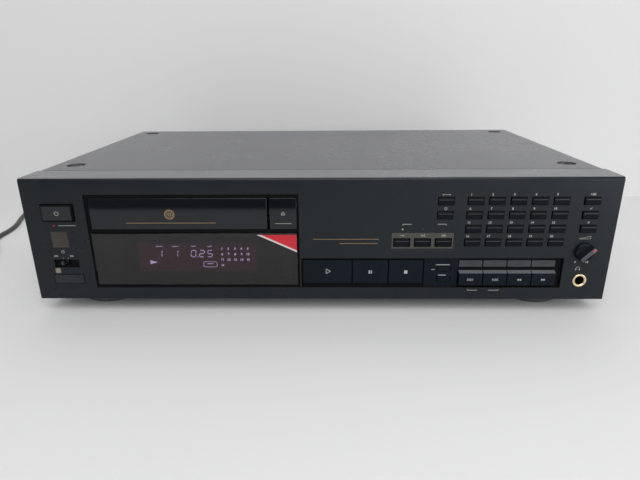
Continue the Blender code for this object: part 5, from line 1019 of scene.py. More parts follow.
def coil_line(diameter, steps=48):
    """The coil: radius grows by one spacing a turn away from the middle turn, and the
    height climbs one spacing over the half turn there; then a straight tail that eases
    down to the plug's middle height."""
    total = COIL_TURNS * 2 * np.pi
    turn = np.linspace(0, total, COIL_TURNS * steps + 1)
    away = turn - total / 2
    radius = COIL_INNER + COIL_SPACING * np.abs(away) / (2 * np.pi)
    height = LEAD_FLOOR + COIL_SPACING * smooth_step(away / np.pi + 0.5)
    x = COIL_MIDDLE[0] + radius * np.cos(turn)
    y = COIL_MIDDLE[1] - radius * np.sin(turn)
    wound = np.stack((x, y, height), -1)
    share = np.linspace(0, 1, 13)[1:]
    sink = (wound[-1, 2] - PLUG_MIDDLE) * smooth_step(share)
    tail = wound[-1] - np.stack((0 * share, COIL_TAIL * share, sink), -1)
    ends = wound[:1] + [0, diameter, 0], tail[-1:] - [0, diameter, 0]
    return np.concatenate((ends[0], wound, tail, ends[1]))


def lead_line(diameter):
    """The whole lead, from its bush over the floor into the coil and out to the plug."""
    coil = coil_line(diameter)
    drop = LEAD_EXIT[2] - LEAD_FLOOR
    start = LEAD_EXIT[0], LEAD_EXIT[1], LEAD_FLOOR
    route = start + LEAD_ROUTE * (-1, 1, drop)
    straight = np.array([0, diameter, 0])
    ends = (LEAD_EXIT, LEAD_EXIT + straight), (coil[0] + straight, coil[0])
    return np.concatenate((smooth_line(np.concatenate((ends[0], route, ends[1])), 6)[:-1], coil))


class PLAYER_OT_lead(bpy.types.Operator):
    """Makes the mains lead with its coil, plug and bush"""

    bl_idname = "player.lead"
    bl_label = "Mains lead"

    sides = 16

    def execute(self, context):
        diameter = context.scene.player_sizes.lead_diameter
        path = lead_line(diameter)
        angle = angles(self.sides)
        section = 0.49 * diameter * np.stack((np.cos(angle), np.sin(angle)), -1)
        lead = add_piece("mains_lead", sweep(path, section), "case", "lead_rubber",
                         "Lead rubber", "power_cord", "cord_coil", smooth=60)
        self.unroll(lead, path)
        plug, pins = self.make_plug()
        bush = self.make_bush()
        return {"FINISHED"}

    def unroll(self, lead, path):
        """A map of the lead: three times the length run, and the share of a turn."""
        steps = np.linalg.norm(np.diff(path, axis=0), axis=1)
        run = np.concatenate(([0], np.cumsum(steps)))
        owner = np.zeros(len(lead.data.loops), int)
        lead.data.loops.foreach_get("vertex_index", owner)
        along, turn = run[owner // self.sides] * 3, owner % self.sides / self.sides
        layer = lead.data.uv_layers.new(name="Length")
        layer.data.foreach_set("uv", np.stack((along, turn), -1).ravel())

    def make_plug(self):
        """A flat two-pin plug. Its body is rings of a rounded rectangle along -Y, whose
        width swells from the lead to the shoulder, with grip ridges in a cosine; its ends
        close in along quarter circles. The pins are turned, with moulded sleeves."""
        low, high, middle = box_of("plug")
        nose = low.y + 19 * MM
        share = np.linspace(0, 1, 61)
        swell = smooth_step(share / 0.72)
        near = np.clip(np.minimum(share, 1 - share) / 0.045, 0, 1)
        ends = 0.80 + 0.20 * np.sqrt(1 - (1 - near) ** 2)
        grip = np.clip(1 - np.abs(share - 0.34) / 0.20, 0, 1) ** 0.5
        ridge = 0.60 * MM * grip * (0.5 + 0.5 * np.cos(share * 2 * np.pi * 16))
        width = (8.6 * MM + 5.1 * MM * swell) * ends - ridge
        height = (9.6 * MM + 2.4 * MM * swell) * ends - ridge
        outline = rounded_rectangle(1, 1, 0.28, 7)
        x = middle[0] + outline[:, 0] * width[:, None]
        z = middle[1] + outline[:, 1] * height[:, None]
        along = high.y + (nose - high.y) * share
        shells, tips = [closed_rings(on_axis(x, z, along[:, None]))], []
        sleeve = profile(nose, (0.5, 3), (1.75, 3), (1.75, -10), (0.5, -10))
        tip = np.concatenate((profile(nose, (0.5, -9.8), (2.0, -9.8)),
                              profile(low.y, (2.0, 1.6), (1.0, 0), (0.1, 0))))
        for side in (-1, 1):
            centre = (middle[0] + side * 4.5 * MM, middle[1])
            shells.append(turned(rounded(sleeve, 0.2 * MM), centre, 24))
            tips.append(turned(rounded(tip, 0.5 * MM), centre, 24))
        body = add_piece("plug_body", shells, "case", "rubber", "Sole rubber", "plug", smooth=50)
        pins = add_piece("plug_pins", tips, "case", "zinc_steel", "Bright steel", smooth=50)
        return body, pins

    def make_bush(self):
        """The ribbed bush: a turned taper with square grooves round its outer half."""
        low, high, centre = box_of("strain_relief")
        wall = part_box("rear_panel")[1].y
        share = np.linspace(0, 1, 73)
        start = wall + 3.2 * MM
        radius = 4.5 * MM + (3.35 - 4.5) * MM * share
        groove = 0.7 * MM * smooth_step((np.sin(share * 2 * np.pi * 7) - 0.1) * 4)
        radius = radius - groove * (share > 0.06) * (share < 0.95)
        taper = np.stack((radius, start + (high.y - start) * share), -1)
        outline = np.concatenate((
            profile(low.y, (1.0, 0), (5.4, 0), (5.4, 2.4), (4.4, 2.6)),
            profile(wall, (4.4, 0.2), (5.5, 0.3), (5.5, 2.8), (5.1, 3.2)),
            taper, profile(high.y, (2.45, 0)),
        ))
        return add_piece("lead_bush", turned(outline, centre, 40), "case", "rubber",
                         "Sole rubber", "strain_relief", smooth=50)


class PLAYER_OT_case(bpy.types.Operator):
    """Makes the folded cover with its screws, the rear plate and the chassis"""

    bl_idname = "player.case"
    bl_label = "Case"

    def execute(self, context):
        ease = context.scene.player_sizes.sheet_ease
        eased("top_cover", "cover_paint", "Cover enamel", ease, 3)
        eased("rear_panel", "satin_black", "Cover enamel", 0.3 * MM)
        eased("chassis", "zinc_steel", "Zinc sheet", 0.4 * MM)
        points, faces = self.screw_head()
        low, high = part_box("top_cover")
        heads = [(points + (x, y, high.z - 2.2 * MM), faces)
                 for x in (-195.5 * MM, 195.5 * MM)
                 for y in (low.y + 22 * MM, high.y - 17.5 * MM)]
        self.add_screws("cover_screws", heads)
        low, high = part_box("rear_panel")
        upright = points[:, [0, 2, 1]] * (0.62, 0.70, 0.62)
        heads = [(upright + (x, high.y - 0.02 * MM, z), faces)
                 for x in np.linspace(low.x + 8 * MM, high.x - 8 * MM, 5)
                 for z in (low.z + 6 * MM, high.z - 7 * MM)]
        self.add_screws("rear_screws", heads)
        return {"FINISHED"}

    def add_screws(self, name, heads):
        """One piece of several heads."""
        add_piece(name, heads, "case", "satin_black", "Black screw", smooth=30)

    def screw_head(self):
        """A domed screw head with a cross recess, as a height field in polar rings.

        The height falls with the square of the radius, and inside the cross it drops by
        the recess's depth times the smooth step of the distance past the cross's edge;
        the cross is where the smaller of |x| and |y| is below half its width and the
        larger is below its reach."""
        radius, height, turn = 4.7 * MM, 1.7 * MM, 0.5
        share = np.concatenate((np.linspace(0.004, 0.86, 22), [0.94, 0.98, 1.0, 1.0]))[:, None]
        angle = angles(64)
        x, y = radius * share * np.cos(angle), radius * share * np.sin(angle)
        z = height * (1 - 0.28 * share ** 2 - 25 * np.maximum(share - 0.9, 0) ** 2) + 0 * x
        z[-1] = 0
        small, large = np.minimum(np.abs(x), np.abs(y)), np.maximum(np.abs(x), np.abs(y))
        slot = smooth_step((0.62 * MM - small) / (0.25 * MM))
        z -= 0.85 * MM * slot * smooth_step((2.7 * MM - large) / (0.4 * MM))
        cos, sin = math.cos(turn), math.sin(turn)
        return closed_rings(np.stack((x * cos - y * sin, x * sin + y * cos, z), -1))


class PLAYER_OT_front(bpy.types.Operator):
    """Makes the moulded front panel, with painted shade, a flat black, inside its openings"""

    bl_idname = "player.front"
    bl_label = "Front panel"

    hole = 5.95 * MM, 3.1 * MM
    margin, margin_low, margin_high = 7.4 * MM, 4.6 * MM, 4.4 * MM

    def execute(self, context):
        ease = context.scene.player_sizes.panel_ease
        panel = eased("front_panel", "satin_black", "Panel plastic", ease)
        # Painted shade, a flat black, inside the panel's openings
        paint(
            panel, (self.inside, "Recess black"), (self.blank, "Key plastic"),
            # Painted highlight: the panel's top is given a much lighter colour than its front
            (lambda x, y, z: z > PANEL_HIGH.z - 0.3 * MM, "Panel ledge"),
        )
        for name, left, columns, rows in (
            ("number", NUMBER_X, 5, 4), ("time", TIME_X, 1, 2), ("side", SIDE_X, 1, 3),
        ):
            x = [on_front(left + PITCH * i, 0)[0] for i in range(columns)]
            z = [on_front(0, row_z(i))[1] for i in range(rows)]
            shell = pierced_plate(
                (x[0] - self.margin, z[-1] - self.margin_low),
                (x[-1] + self.margin, z[0] + self.margin_high),
                holes_at(x, z, *self.hole), FACE - 0.02 * MM, FACE + 0.5 * MM,
            )
            add_piece(name + "_field", shell, "case", "satin_black", "Panel plastic")
        return {"FINISHED"}

    def inside(self, x, y, z):
        """Faces within the panel's openings."""
        across = (np.abs(x) < PANEL_HIGH.x - 2 * MM) & (y > FACE + 0.3 * MM)
        return across & (z > BASE + 2 * MM) & (z < PANEL_HIGH.z - 2 * MM)

    def blank(self, x, y, z):
        """The blank field of the key strip."""
        level = self.inside(x, y, z) & (np.abs(y - FACE - 1.9 * MM) < 0.1 * MM)
        return level & (x > 79.3 * MM) & (x < 104.5 * MM) & (z < BASE + 31 * MM)


class PLAYER_OT_door(bpy.types.Operator):
    """Makes the tray door and the open and close key beside it"""

    bl_idname = "player.door"
    bl_label = "Tray door"

    corner, ease = 0.4 * MM, 0.5 * MM
    rise, fall = 11.7 * MM, 1.3 * MM

    def execute(self, context):
        low, high, middle = box_of("tray_door")
        width, height = high.x - low.x, high.z - low.z
        shell = cap_shell(
            middle, (width, height), self.corner, low.y, self.ease, [(1, 1, high.y)],
            self.rolled_back(height), (12, 40),
        )
        add_piece("tray_door_front", shell, "tray", "gloss_black", "Gloss black", "tray_door",
                  smooth=50)
        middle, size, front = cap_of("open_close_key", 0)
        shell = key_shell(middle, size, front, self.corner, self.ease,
                          self.rolled_back(size[1]), counts=(9, 40))
        add_piece("open_close_front", shell, "open_close_key", "gloss_black", "Gloss black",
                  "open_close_key", smooth=50)
        return {"FINISHED"}

    def rolled_back(self, height):
        """Relief of a front whose upper part curls back: the fall times the square of how
        far above the bend a point lies."""
        bend = height / 2 - self.rise
        return lambda x, z: self.fall * np.clip((z - bend) / self.rise, 0, 1) ** 2


class PLAYER_OT_display(bpy.types.Operator):
    """Makes the smoked window and the lit figures behind it"""

    bl_idname = "player.display"
    bl_label = "Window and display"

    eye_x, eye_z, grow = 0.0087, 0.1843, 1.020
    digits = (("1", -118.2), ("1", -106.3), ("0", -92.8), ("2", -86.5), ("5", -80.5))
    bar_ends = {
        "a": ((-1, 1), (1, 1)), "b": ((1, 1), (1, 0)), "c": ((1, 0), (1, -1)),
        "d": ((-1, -1), (1, -1)), "e": ((-1, 0), (-1, -1)), "f": ((-1, 1), (-1, 0)),
        "g": ((-1, 0), (1, 0)),
    }
    lit_bars = {"0": "adfbec", "1": "bc", "2": "abged", "5": "afgcd"}

    def execute(self, context):
        low, high, middle = box_of("display_window")
        size = (high.x - low.x, high.z - low.z)
        shell = cap_shell(middle, size, 0.45 * MM, low.y, 0.35 * MM, [(1, 1, high.y)])
        add_piece("window_pane", shell, "case", "smoke_window", "Smoked acrylic",
                  "display_window", smooth=40)
        board = eased("front_board", "circuit_board", "Board laminate", 0.15 * MM)
        ahead = FACE + 12.9 * MM
        # Painted shade: the board's faces ahead of the tube are given a flat black, and the tube's
        # front a dark glass
        paint(
            board, (lambda x, y, z: y < ahead, "Recess black"),
            (lambda x, y, z: (y < ahead) & (np.abs(x + 91.5 * MM) < 59.5 * MM)
             & (z < BASE + 46 * MM), "Tube glass"),
        )
        self.light_up()
        return {"FINISHED"}

    def light_up(self):
        """The display's ground and its lit figures, on the front of its tube."""
        plane = FACE + 6.9 * MM
        low, high = self.on_tube(-134.6, 23.4), self.on_tube(-46.0, 45.5)
        ground = slab((low[0], plane, low[1]), (high[0], plane + 0.2 * MM, high[1]))
        add_piece("display_ground", ground, "case", "smoke_window", "Display ground")
        depths = plane - 0.15 * MM, plane + 0.05 * MM
        shells = []
        for digit, x in self.digits:
            shells += self.seven_segments(digit, self.on_tube(x, 37.5), depths)
        for i in range(16):
            place = self.on_tube(-71.4 + 4.8 * (i % 5), 41.4 - 4.37 * (i // 5))
            shells.append(figures(str(i + 1), place, 2.0 * MM, *depths, 0.12, 0.045))
        marker = ((-125.9, 32.3), (-125.9, 28.9), (-120.4, 30.6))
        shells.append(plate(np.array([self.on_tube(*p) for p in marker]), *depths))
        for x, z, width, height, corner in (
            (-89.8, 35.0, 0.7, 0.7, 0.3), (-118.0, 43.3, 5.2, 0.4, 0.2),
            (-106.0, 43.3, 5.2, 0.4, 0.2), (-92.5, 43.3, 3.8, 0.4, 0.2),
            (-80.4, 43.3, 3.8, 0.4, 0.2), (-80.9, 29.4, 4.6, 0.5, 0.2),
        ):
            bar = rounded_rectangle(width * MM, height * MM, corner * MM)
            shells.append(plate(bar + self.on_tube(x, z), *depths))
        outer = rounded_rectangle(10.6 * MM, 4.6 * MM, 1.2 * MM) + self.on_tube(-80.9, 28.9)
        inner = rounded_rectangle(10.0 * MM, 4.0 * MM, 0.95 * MM) + self.on_tube(-80.9, 28.9)
        shells.append(band(outer, inner, *depths))
        add_piece("display_figures", shells, "case", "smoke_window", "Lit figures")

    def on_tube(self, x_mm, z_mm):
        """Where a place of the front lies on the tube, 7 mm behind it, as the eye sees it."""
        eye = np.array([self.eye_x, self.eye_z])
        return eye + (on_front(x_mm, z_mm) - eye) * self.grow

    def seven_segments(self, digit, middle, depths):
        """Bars of one slanted digit: each bar is a hexagon along its line. The bars run
        clockwise from a at the top to f, with g across the middle."""
        half, bold, gap, slant = (1.75 * MM, 2.6 * MM), 0.27 * MM, 0.22 * MM, 0.13
        shells = []
        for bar in self.lit_bars[digit]:
            start, end = np.array(self.bar_ends[bar]) * half
            along = (end - start) / np.linalg.norm(end - start)
            across = np.array([-along[1], along[0]]) * bold
            start, end, step = start + along * gap, end - along * gap, along * bold
            outline = np.stack((start, start + step - across, end - step - across, end,
                                end - step + across, start + step + across))
            outline[:, 0] += slant * outline[:, 1]
            shells.append(plate(outline + middle, *depths))
        return shells


class PLAYER_OT_left_controls(bpy.types.Operator):
    """Makes the power button and the timer slider"""

    bl_idname = "player.left_controls"
    bl_label = "Power and timer"

    def execute(self, context):
        middle, size, front = cap_of("power_button", 0)
        tall = 1 + 2 * LIP / size[1]
        rows = [(1, 1, FLANGE_FRONT), (1, tall, FLANGE_FRONT), (1, tall, FLANGE_BACK)]
        rim = 1.1 * MM
        inner = (size[0] / 2 - rim, size[1] / 2 - rim)
        shell = cap_shell(
            middle, size, 1.3 * MM, front, 1.2 * MM, rows,
            lambda x, z: 0.15 * MM * np.clip(1 - (x / size[0] * 2) ** 2, 0, 1), (14, 8),
            (-inner[1], inner[1]),
        )
        button = add_piece("power_cap", shell, "power", "key_black", "Satin insert",
                           "power_button", smooth=40)
        # Painted shade round the cap's rim, in the gap to the panel
        paint(button, (lambda x, y, z: np.maximum(
            np.abs(x - middle[0]) - inner[0], np.abs(z - middle[1]) - inner[1]) > 0,
            "Recess black"))
        eased("timer_slider", "grey_plastic", "Tray plastic", 0.35 * MM)
        return {"FINISHED"}


class PLAYER_OT_pad(bpy.types.Operator):
    """Makes the key pad: number keys in rows, and the single keys beside them"""

    bl_idname = "player.pad"
    bl_label = "Key pad"

    single = ("edit_key", "time_key", "mode_key_continue", "mode_key_shuffle",
              "mode_key_program", "side_key_1", "side_key_2", "side_key_3")
    width, height, crease = 11.3 * MM, 5.6 * MM, 1.12 * MM
    line_half = 0.2 * MM

    def execute(self, context):
        self.sizes = context.scene.player_sizes
        for node in self.single:
            self.add_keys(node, "_cap", np.zeros(1))
        for i in range(4):
            self.add_keys(f"number_keys_row_{i + 1}", "_caps", (np.arange(5) - 2) * PITCH * MM)
        return {"FINISHED"}

    def add_keys(self, node, ending, places):
        """The caps of one solid, with webs between them: painted shade above the crease and round
        the rim and on the webs, and a painted highlight along the crease."""
        middle, _, front = cap_of(node)
        shells = [self.cap((middle[0] + x, middle[1]), front) for x in places]
        for x in middle[0] + (places[1:] + places[:-1]) / 2:
            shells.append(slab(
                (x - 1.3 * MM, FLANGE_FRONT + 0.1 * MM, middle[1] - 3 * MM),
                (x + 1.3 * MM, FLANGE_BACK - 0.1 * MM, middle[1] + 3 * MM),
            ))
        piece = add_piece(node + ending, shells, body_of(node), "key_black", "Pad plastic",
                          node, smooth=30)
        half_x, half_z = self.width / 2 - 0.5 * MM, self.height / 2 - 0.5 * MM
        crease = middle[1] + self.crease

        def off(x):
            return np.abs(x[:, None] - middle[0] - places).min(1)

        # Painted shade above each crease, round each rim and on the webs, and a painted highlight
        # along the crease
        paint(
            piece, (lambda x, y, z: z > crease, "Key shade"),
            (lambda x, y, z: (off(x) > half_x) | (np.abs(z - middle[1]) > half_z),
             "Recess black"),
            (lambda x, y, z: (np.abs(z - crease) < self.line_half) & (off(x) < half_x),
             "Rubbed line"),
        )

    def cap(self, middle, front):
        """A key whose upper part falls back from the crease."""
        lines = (self.crease - self.line_half, self.crease + self.line_half,
                 0.7 * MM - self.height / 2)
        return key_shell(middle, (self.width, self.height), front, 0.9 * MM,
                         self.sizes.key_ease, self.creased, LIP + 0.4 * MM, (7, 9), lines)

    def creased(self, x, z):
        """Zero up to the crease, then the fall times a power of how far above the crease a
        point lies, and a faint hollow below it."""
        fall = self.sizes.key_crease
        above = np.clip((z - self.crease) / (self.height / 2 - self.crease), 0, 1)
        hollow = np.clip((self.crease - z) / (self.height / 2 + self.crease), 0, 1)
        return fall * above ** 1.3 + 0.10 * fall * np.sin(np.pi * hollow)


class PLAYER_OT_strip(bpy.types.Operator):
    """Makes the long strip of keys below the pad"""

    bl_idname = "player.strip"
    bl_label = "Key strip"

    def execute(self, context):
        for name in ("play", "pause", "stop"):
            self.make_key(name + "_key", 0, "key_black", "Key plastic", 0.4 * MM)
        for name in ("check", "clear"):
            self.make_key(name + "_key", LIP, "key_black", "Key plastic", 0.4 * MM)
        for i in range(4):
            self.make_key(f"function_key_{i + 1}", 0, "key_grey", "Grey key plastic", 0.3 * MM)
            self.make_skip(f"skip_key_{i + 1}")
        return {"FINISHED"}

    def make_key(self, node, lip_x, slot, look, ease):
        """A key whose face is hollowed along its middle."""
        middle, size, front = cap_of(node, lip_x)
        shell = key_shell(
            middle, size, front, 0.5 * MM, ease,
            lambda x, z: 0.12 * MM * np.clip(1 - (z / size[1] * 2) ** 2, 0, 1), lip_x,
        )
        add_piece(node + "_cap", shell, body_of(node), slot, look, node, smooth=40)

    def make_skip(self, node):
        """A taller key whose upper 1.5 mm slopes back by 3 mm, with a painted highlight on the
        slope.
        """
        middle, size, front = cap_of(node, 0)
        rise, fall, edge = 1.5 * MM, 3.0 * MM, 0.15 * MM
        crease = size[1] / 2 - rise
        shell = key_shell(
            middle, size, front, 0.4 * MM, 0.3 * MM,
            lambda x, z: fall * np.clip((z - crease) / rise, 0, 1),
            lines=(crease, crease + edge, crease - edge),
        )
        key = add_piece(node + "_cap", shell, body_of(node), "key_grey", "Key plastic", node,
                        smooth=25)
        slope = middle[1] + crease + rise / 2
        # Painted highlight on the sloping upper part
        paint(key, (lambda x, y, z: np.abs(z - slope) < rise / 2 - 0.05 * MM, "Key ridge"))


class PLAYER_OT_knob(bpy.types.Operator):
    """Makes the level knob and the headphone jack"""

    bl_idname = "player.knob"
    bl_label = "Knob and jack"

    radius, back = 6.95 * MM, FACE - 0.8 * MM
    wall_rise, dome_rise = 1.3 * MM, 1.1 * MM

    def execute(self, context):
        steps = context.scene.player_sizes.round_steps
        self.make_knob(steps)
        low, high, centre = box_of("headphone_jack")
        ring = np.concatenate((
            profile(FACE, (3.3, 6)),
            profile(low.y, (3.3, 0.5), (3.9, 0), (4.9, 0), (5.2, 0.4)),
            profile(FACE, (5.2, -0.05), (4.5, -0.05), (4.5, 6)),
        ))
        ring = turned(rounded(ring, 0.25 * MM), centre, steps, True)
        add_piece("jack_ring", ring, "case", "gold", "Gold plate", "headphone_jack", smooth=50)
        body = np.concatenate((
            profile(FACE, (3.3, 3), (4.4, 3), (4.4, 4.6), (6.5, 4.6)),
            profile(high.y, (6.5, 0), (0.05, 0), (0.05, -2), (3.3, -2)),
        ))
        body = turned(body, centre, 40, True)
        # Painted shade: a flat black inside the jack
        add_piece("jack_body", body, "case", "rubber", "Recess black", smooth=40)
        return {"FINISHED"}

    def make_knob(self, steps):
        """A turned body with a low dome, and a bar across it with a painted highlight on its crest.
        """
        low, high, centre = box_of("level_knob")
        share = np.linspace(0, 1, 9)[1:] * np.pi / 2
        rim = self.back - self.wall_rise
        dome = self.radius * np.cos(share * 0.98), rim - self.dome_rise * np.sin(share)
        wall = np.array([(STEM, high.y), (STEM, self.back), (self.radius, self.back),
                         (self.radius, rim)])
        outline = np.concatenate((rounded(wall, 0.25 * MM), np.stack(dome, -1)))
        add_piece("knob_body", turned(outline, centre, steps), "level", "key_black",
                  "Key plastic", "level_knob", smooth=40)
        grip = add_piece("knob_grip", self.grip(centre, low.y), "level", "key_black",
                         "Key plastic", smooth=40)
        crest = low.y + 0.3 * MM
        # Painted highlight along the grip's crest
        paint(grip, (lambda x, y, z: y < crest, "Knob crest"))

    def grip(self, centre, front):
        """The bar grip: rings of a rounded rectangle that narrow from its foot to its
        crest, turned to point up and to the right."""
        share = np.array([0, 0.15, 0.5, 0.85, 0.95, 1.0])[:, None]
        close = np.array([(0, 0), (0, 0), (0, 0), (0, 0), (0.25, 0.3), (0.9, 1.0)]) * MM
        width = (6.4 - 3.4 * share) * MM - close[:, :1]
        reach = 2 * (self.radius - 0.3 * MM) - close[:, 1:]
        outline = rounded_rectangle(1, 1, 0.10, 4)
        across, along = outline[:, 0] * width, outline[:, 1] * reach
        part = math.sqrt(0.5)
        x = centre[0] + (across + along) * part
        z = centre[1] + (along - across) * part
        foot = self.back - 1 * MM
        return closed_rings(on_axis(x, z, foot + (front - foot) * share))


class PLAYER_OT_feet(bpy.types.Operator):
    """Makes the four round feet"""

    bl_idname = "player.feet"
    bl_label = "Feet"

    def execute(self, context):
        steps = context.scene.player_sizes.round_steps
        for place in ("front_left", "front_right", "rear_left", "rear_right"):
            node = "foot_" + place
            low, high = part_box(node)
            outline = np.concatenate((
                profile(low.z, (0.2, 0), (23.2, 0), (23.5, 0.3), (25.0, 2.5), (25.0, 4.6),
                        (24.2, 5.4), (21.9, 6.6), (21.4, 7.6)),
                profile(high.z, (21.4, 0), (0.2, 0)),
            ))
            centre = ((low.x + high.x) / 2, (low.y + high.y) / 2)
            shell = turned(rounded(outline, 0.8 * MM, 5), centre, steps, upright=True)
            add_piece(node + "_shell", shell, "case", "foot_plastic", "Foot plastic", node,
                      smooth=50)
        return {"FINISHED"}


class PLAYER_OT_trim(bpy.types.Operator):
    """Makes the mode plate, the sensor window, the lamps, the patches and the sticker"""

    bl_idname = "player.trim"
    bl_label = "Plates and lamps"

    def execute(self, context):
        self.make_mode_plate()
        gap = 0.55 * MM
        low, high = on_front(-201.45, 12.6) + gap, on_front(-178.35, 20.6) - gap
        shell = slab((low[0], FACE + 0.02 * MM, low[1]), (high[0], FACE + 0.38 * MM, high[1]),
                     0.3 * MM, 0.1 * MM)
        add_piece("sensor_window", shell, "case", "smoke_window", "Satin insert")
        lamps = [self.lamp(x) for x in (61.5, 76.3, 91.0)]
        add_piece("mode_lamp_lit", lamps[0], "case", "smoke_window", "Green lamp")
        add_piece("mode_lamps_dark", lamps[1:], "case", "smoke_window", "Dark lamp")
        self.make_patches()
        self.make_sticker()
        return {"FINISHED"}

    def make_mode_plate(self):
        """A flush field in the pocket round the mode keys, and a thin plate over it."""
        places = np.array([on_front(x, row_z(MODE_ROW)) for x in MODE_X])
        holes = holes_at(places[:, 0], places[:1, 1], 6.3 * MM, 3.4 * MM)
        gap = 0.1 * MM
        left, right = 53.9, 99.0
        shell = pierced_plate(on_front(left, 39.7) + gap, on_front(right, 51.9) - gap, holes,
                              FACE - 0.02 * MM, FACE + 0.38 * MM)
        add_piece("mode_field", shell, "case", "satin_black", "Panel plastic")
        shell = pierced_plate(on_front(left, 41.1), on_front(right, 53.2), holes,
                              FACE - 0.06 * MM, FACE + 0.02 * MM)
        add_piece("mode_plate", shell, "case", "grey_plastic", "Mode plate")

    def lamp(self, x_mm):
        """A small dome, turned from a quarter circle."""
        radius = 0.55 * MM
        share = np.linspace(0.02, 1, 7) * np.pi / 2
        dome = np.stack((radius * np.sin(share), FACE - 0.30 * MM * np.cos(share)), -1)
        outline = np.concatenate((dome, [(radius, FACE + 0.2 * MM)]))
        return turned(outline, on_front(x_mm, 56.0), 20)

    def make_patches(self):
        """A square patch of fine dots, and a small pale square below it."""
        x, z = on_front(-191.6, 48.3)
        half = 6.2 * MM
        shell = slab((x - half, FACE - 0.08 * MM, z - half),
                     (x + half, FACE + 0.1 * MM, z + half), 0.4 * MM, 0.05 * MM)
        add_piece("dot_patch", shell, "case", "smoke_window", "Sensor patch")
        spot = rounded_rectangle(0.72, 0.72, 0.2, 2)
        steps = (np.arange(9) - 4) * 1.32
        shells = lay([spot + (i, j) for i in steps for j in steps], (x, z),
                     FACE - 0.12 * MM, FACE - 0.02 * MM)
        add_piece("patch_dots", shells, "case", "gold", "Patch dots")
        shells = lay([rounded_rectangle(3.9, 3.9, 0.3, 3)], on_front(-197.45, 23.45),
                     FACE - 0.08 * MM, FACE + 0.05 * MM)
        add_piece("pale_square", shells, "case", "grey_plastic", "Pale square")

    def make_sticker(self):
        """A triangular sticker on the window's corner: red, with a pale lower edge. The red
        part is the triangle drawn in towards its corner by the edge's width."""
        front, edge = FACE + 0.4 * MM, 1.25 * MM
        triangle = np.array([on_front(*p) for p in ((-45.2, 51.7), (-15.9, 51.7), (-15.9, 38.1))])
        shell = plate(triangle, front - 0.06 * MM, front + 0.02 * MM)
        add_piece("sticker_edge", shell, "case", "smoke_window", "Sticker white")
        tip, corner, foot = triangle
        legs = corner[0] - tip[0], corner[1] - foot[1]
        reach = legs[0] * legs[1] / math.hypot(*legs)
        red = corner + (triangle - corner) * (1 - edge / reach)
        shell = plate(red, front - 0.10 * MM, front - 0.05 * MM)
        add_piece("sticker_red", shell, "case", "smoke_window", "Sticker red")


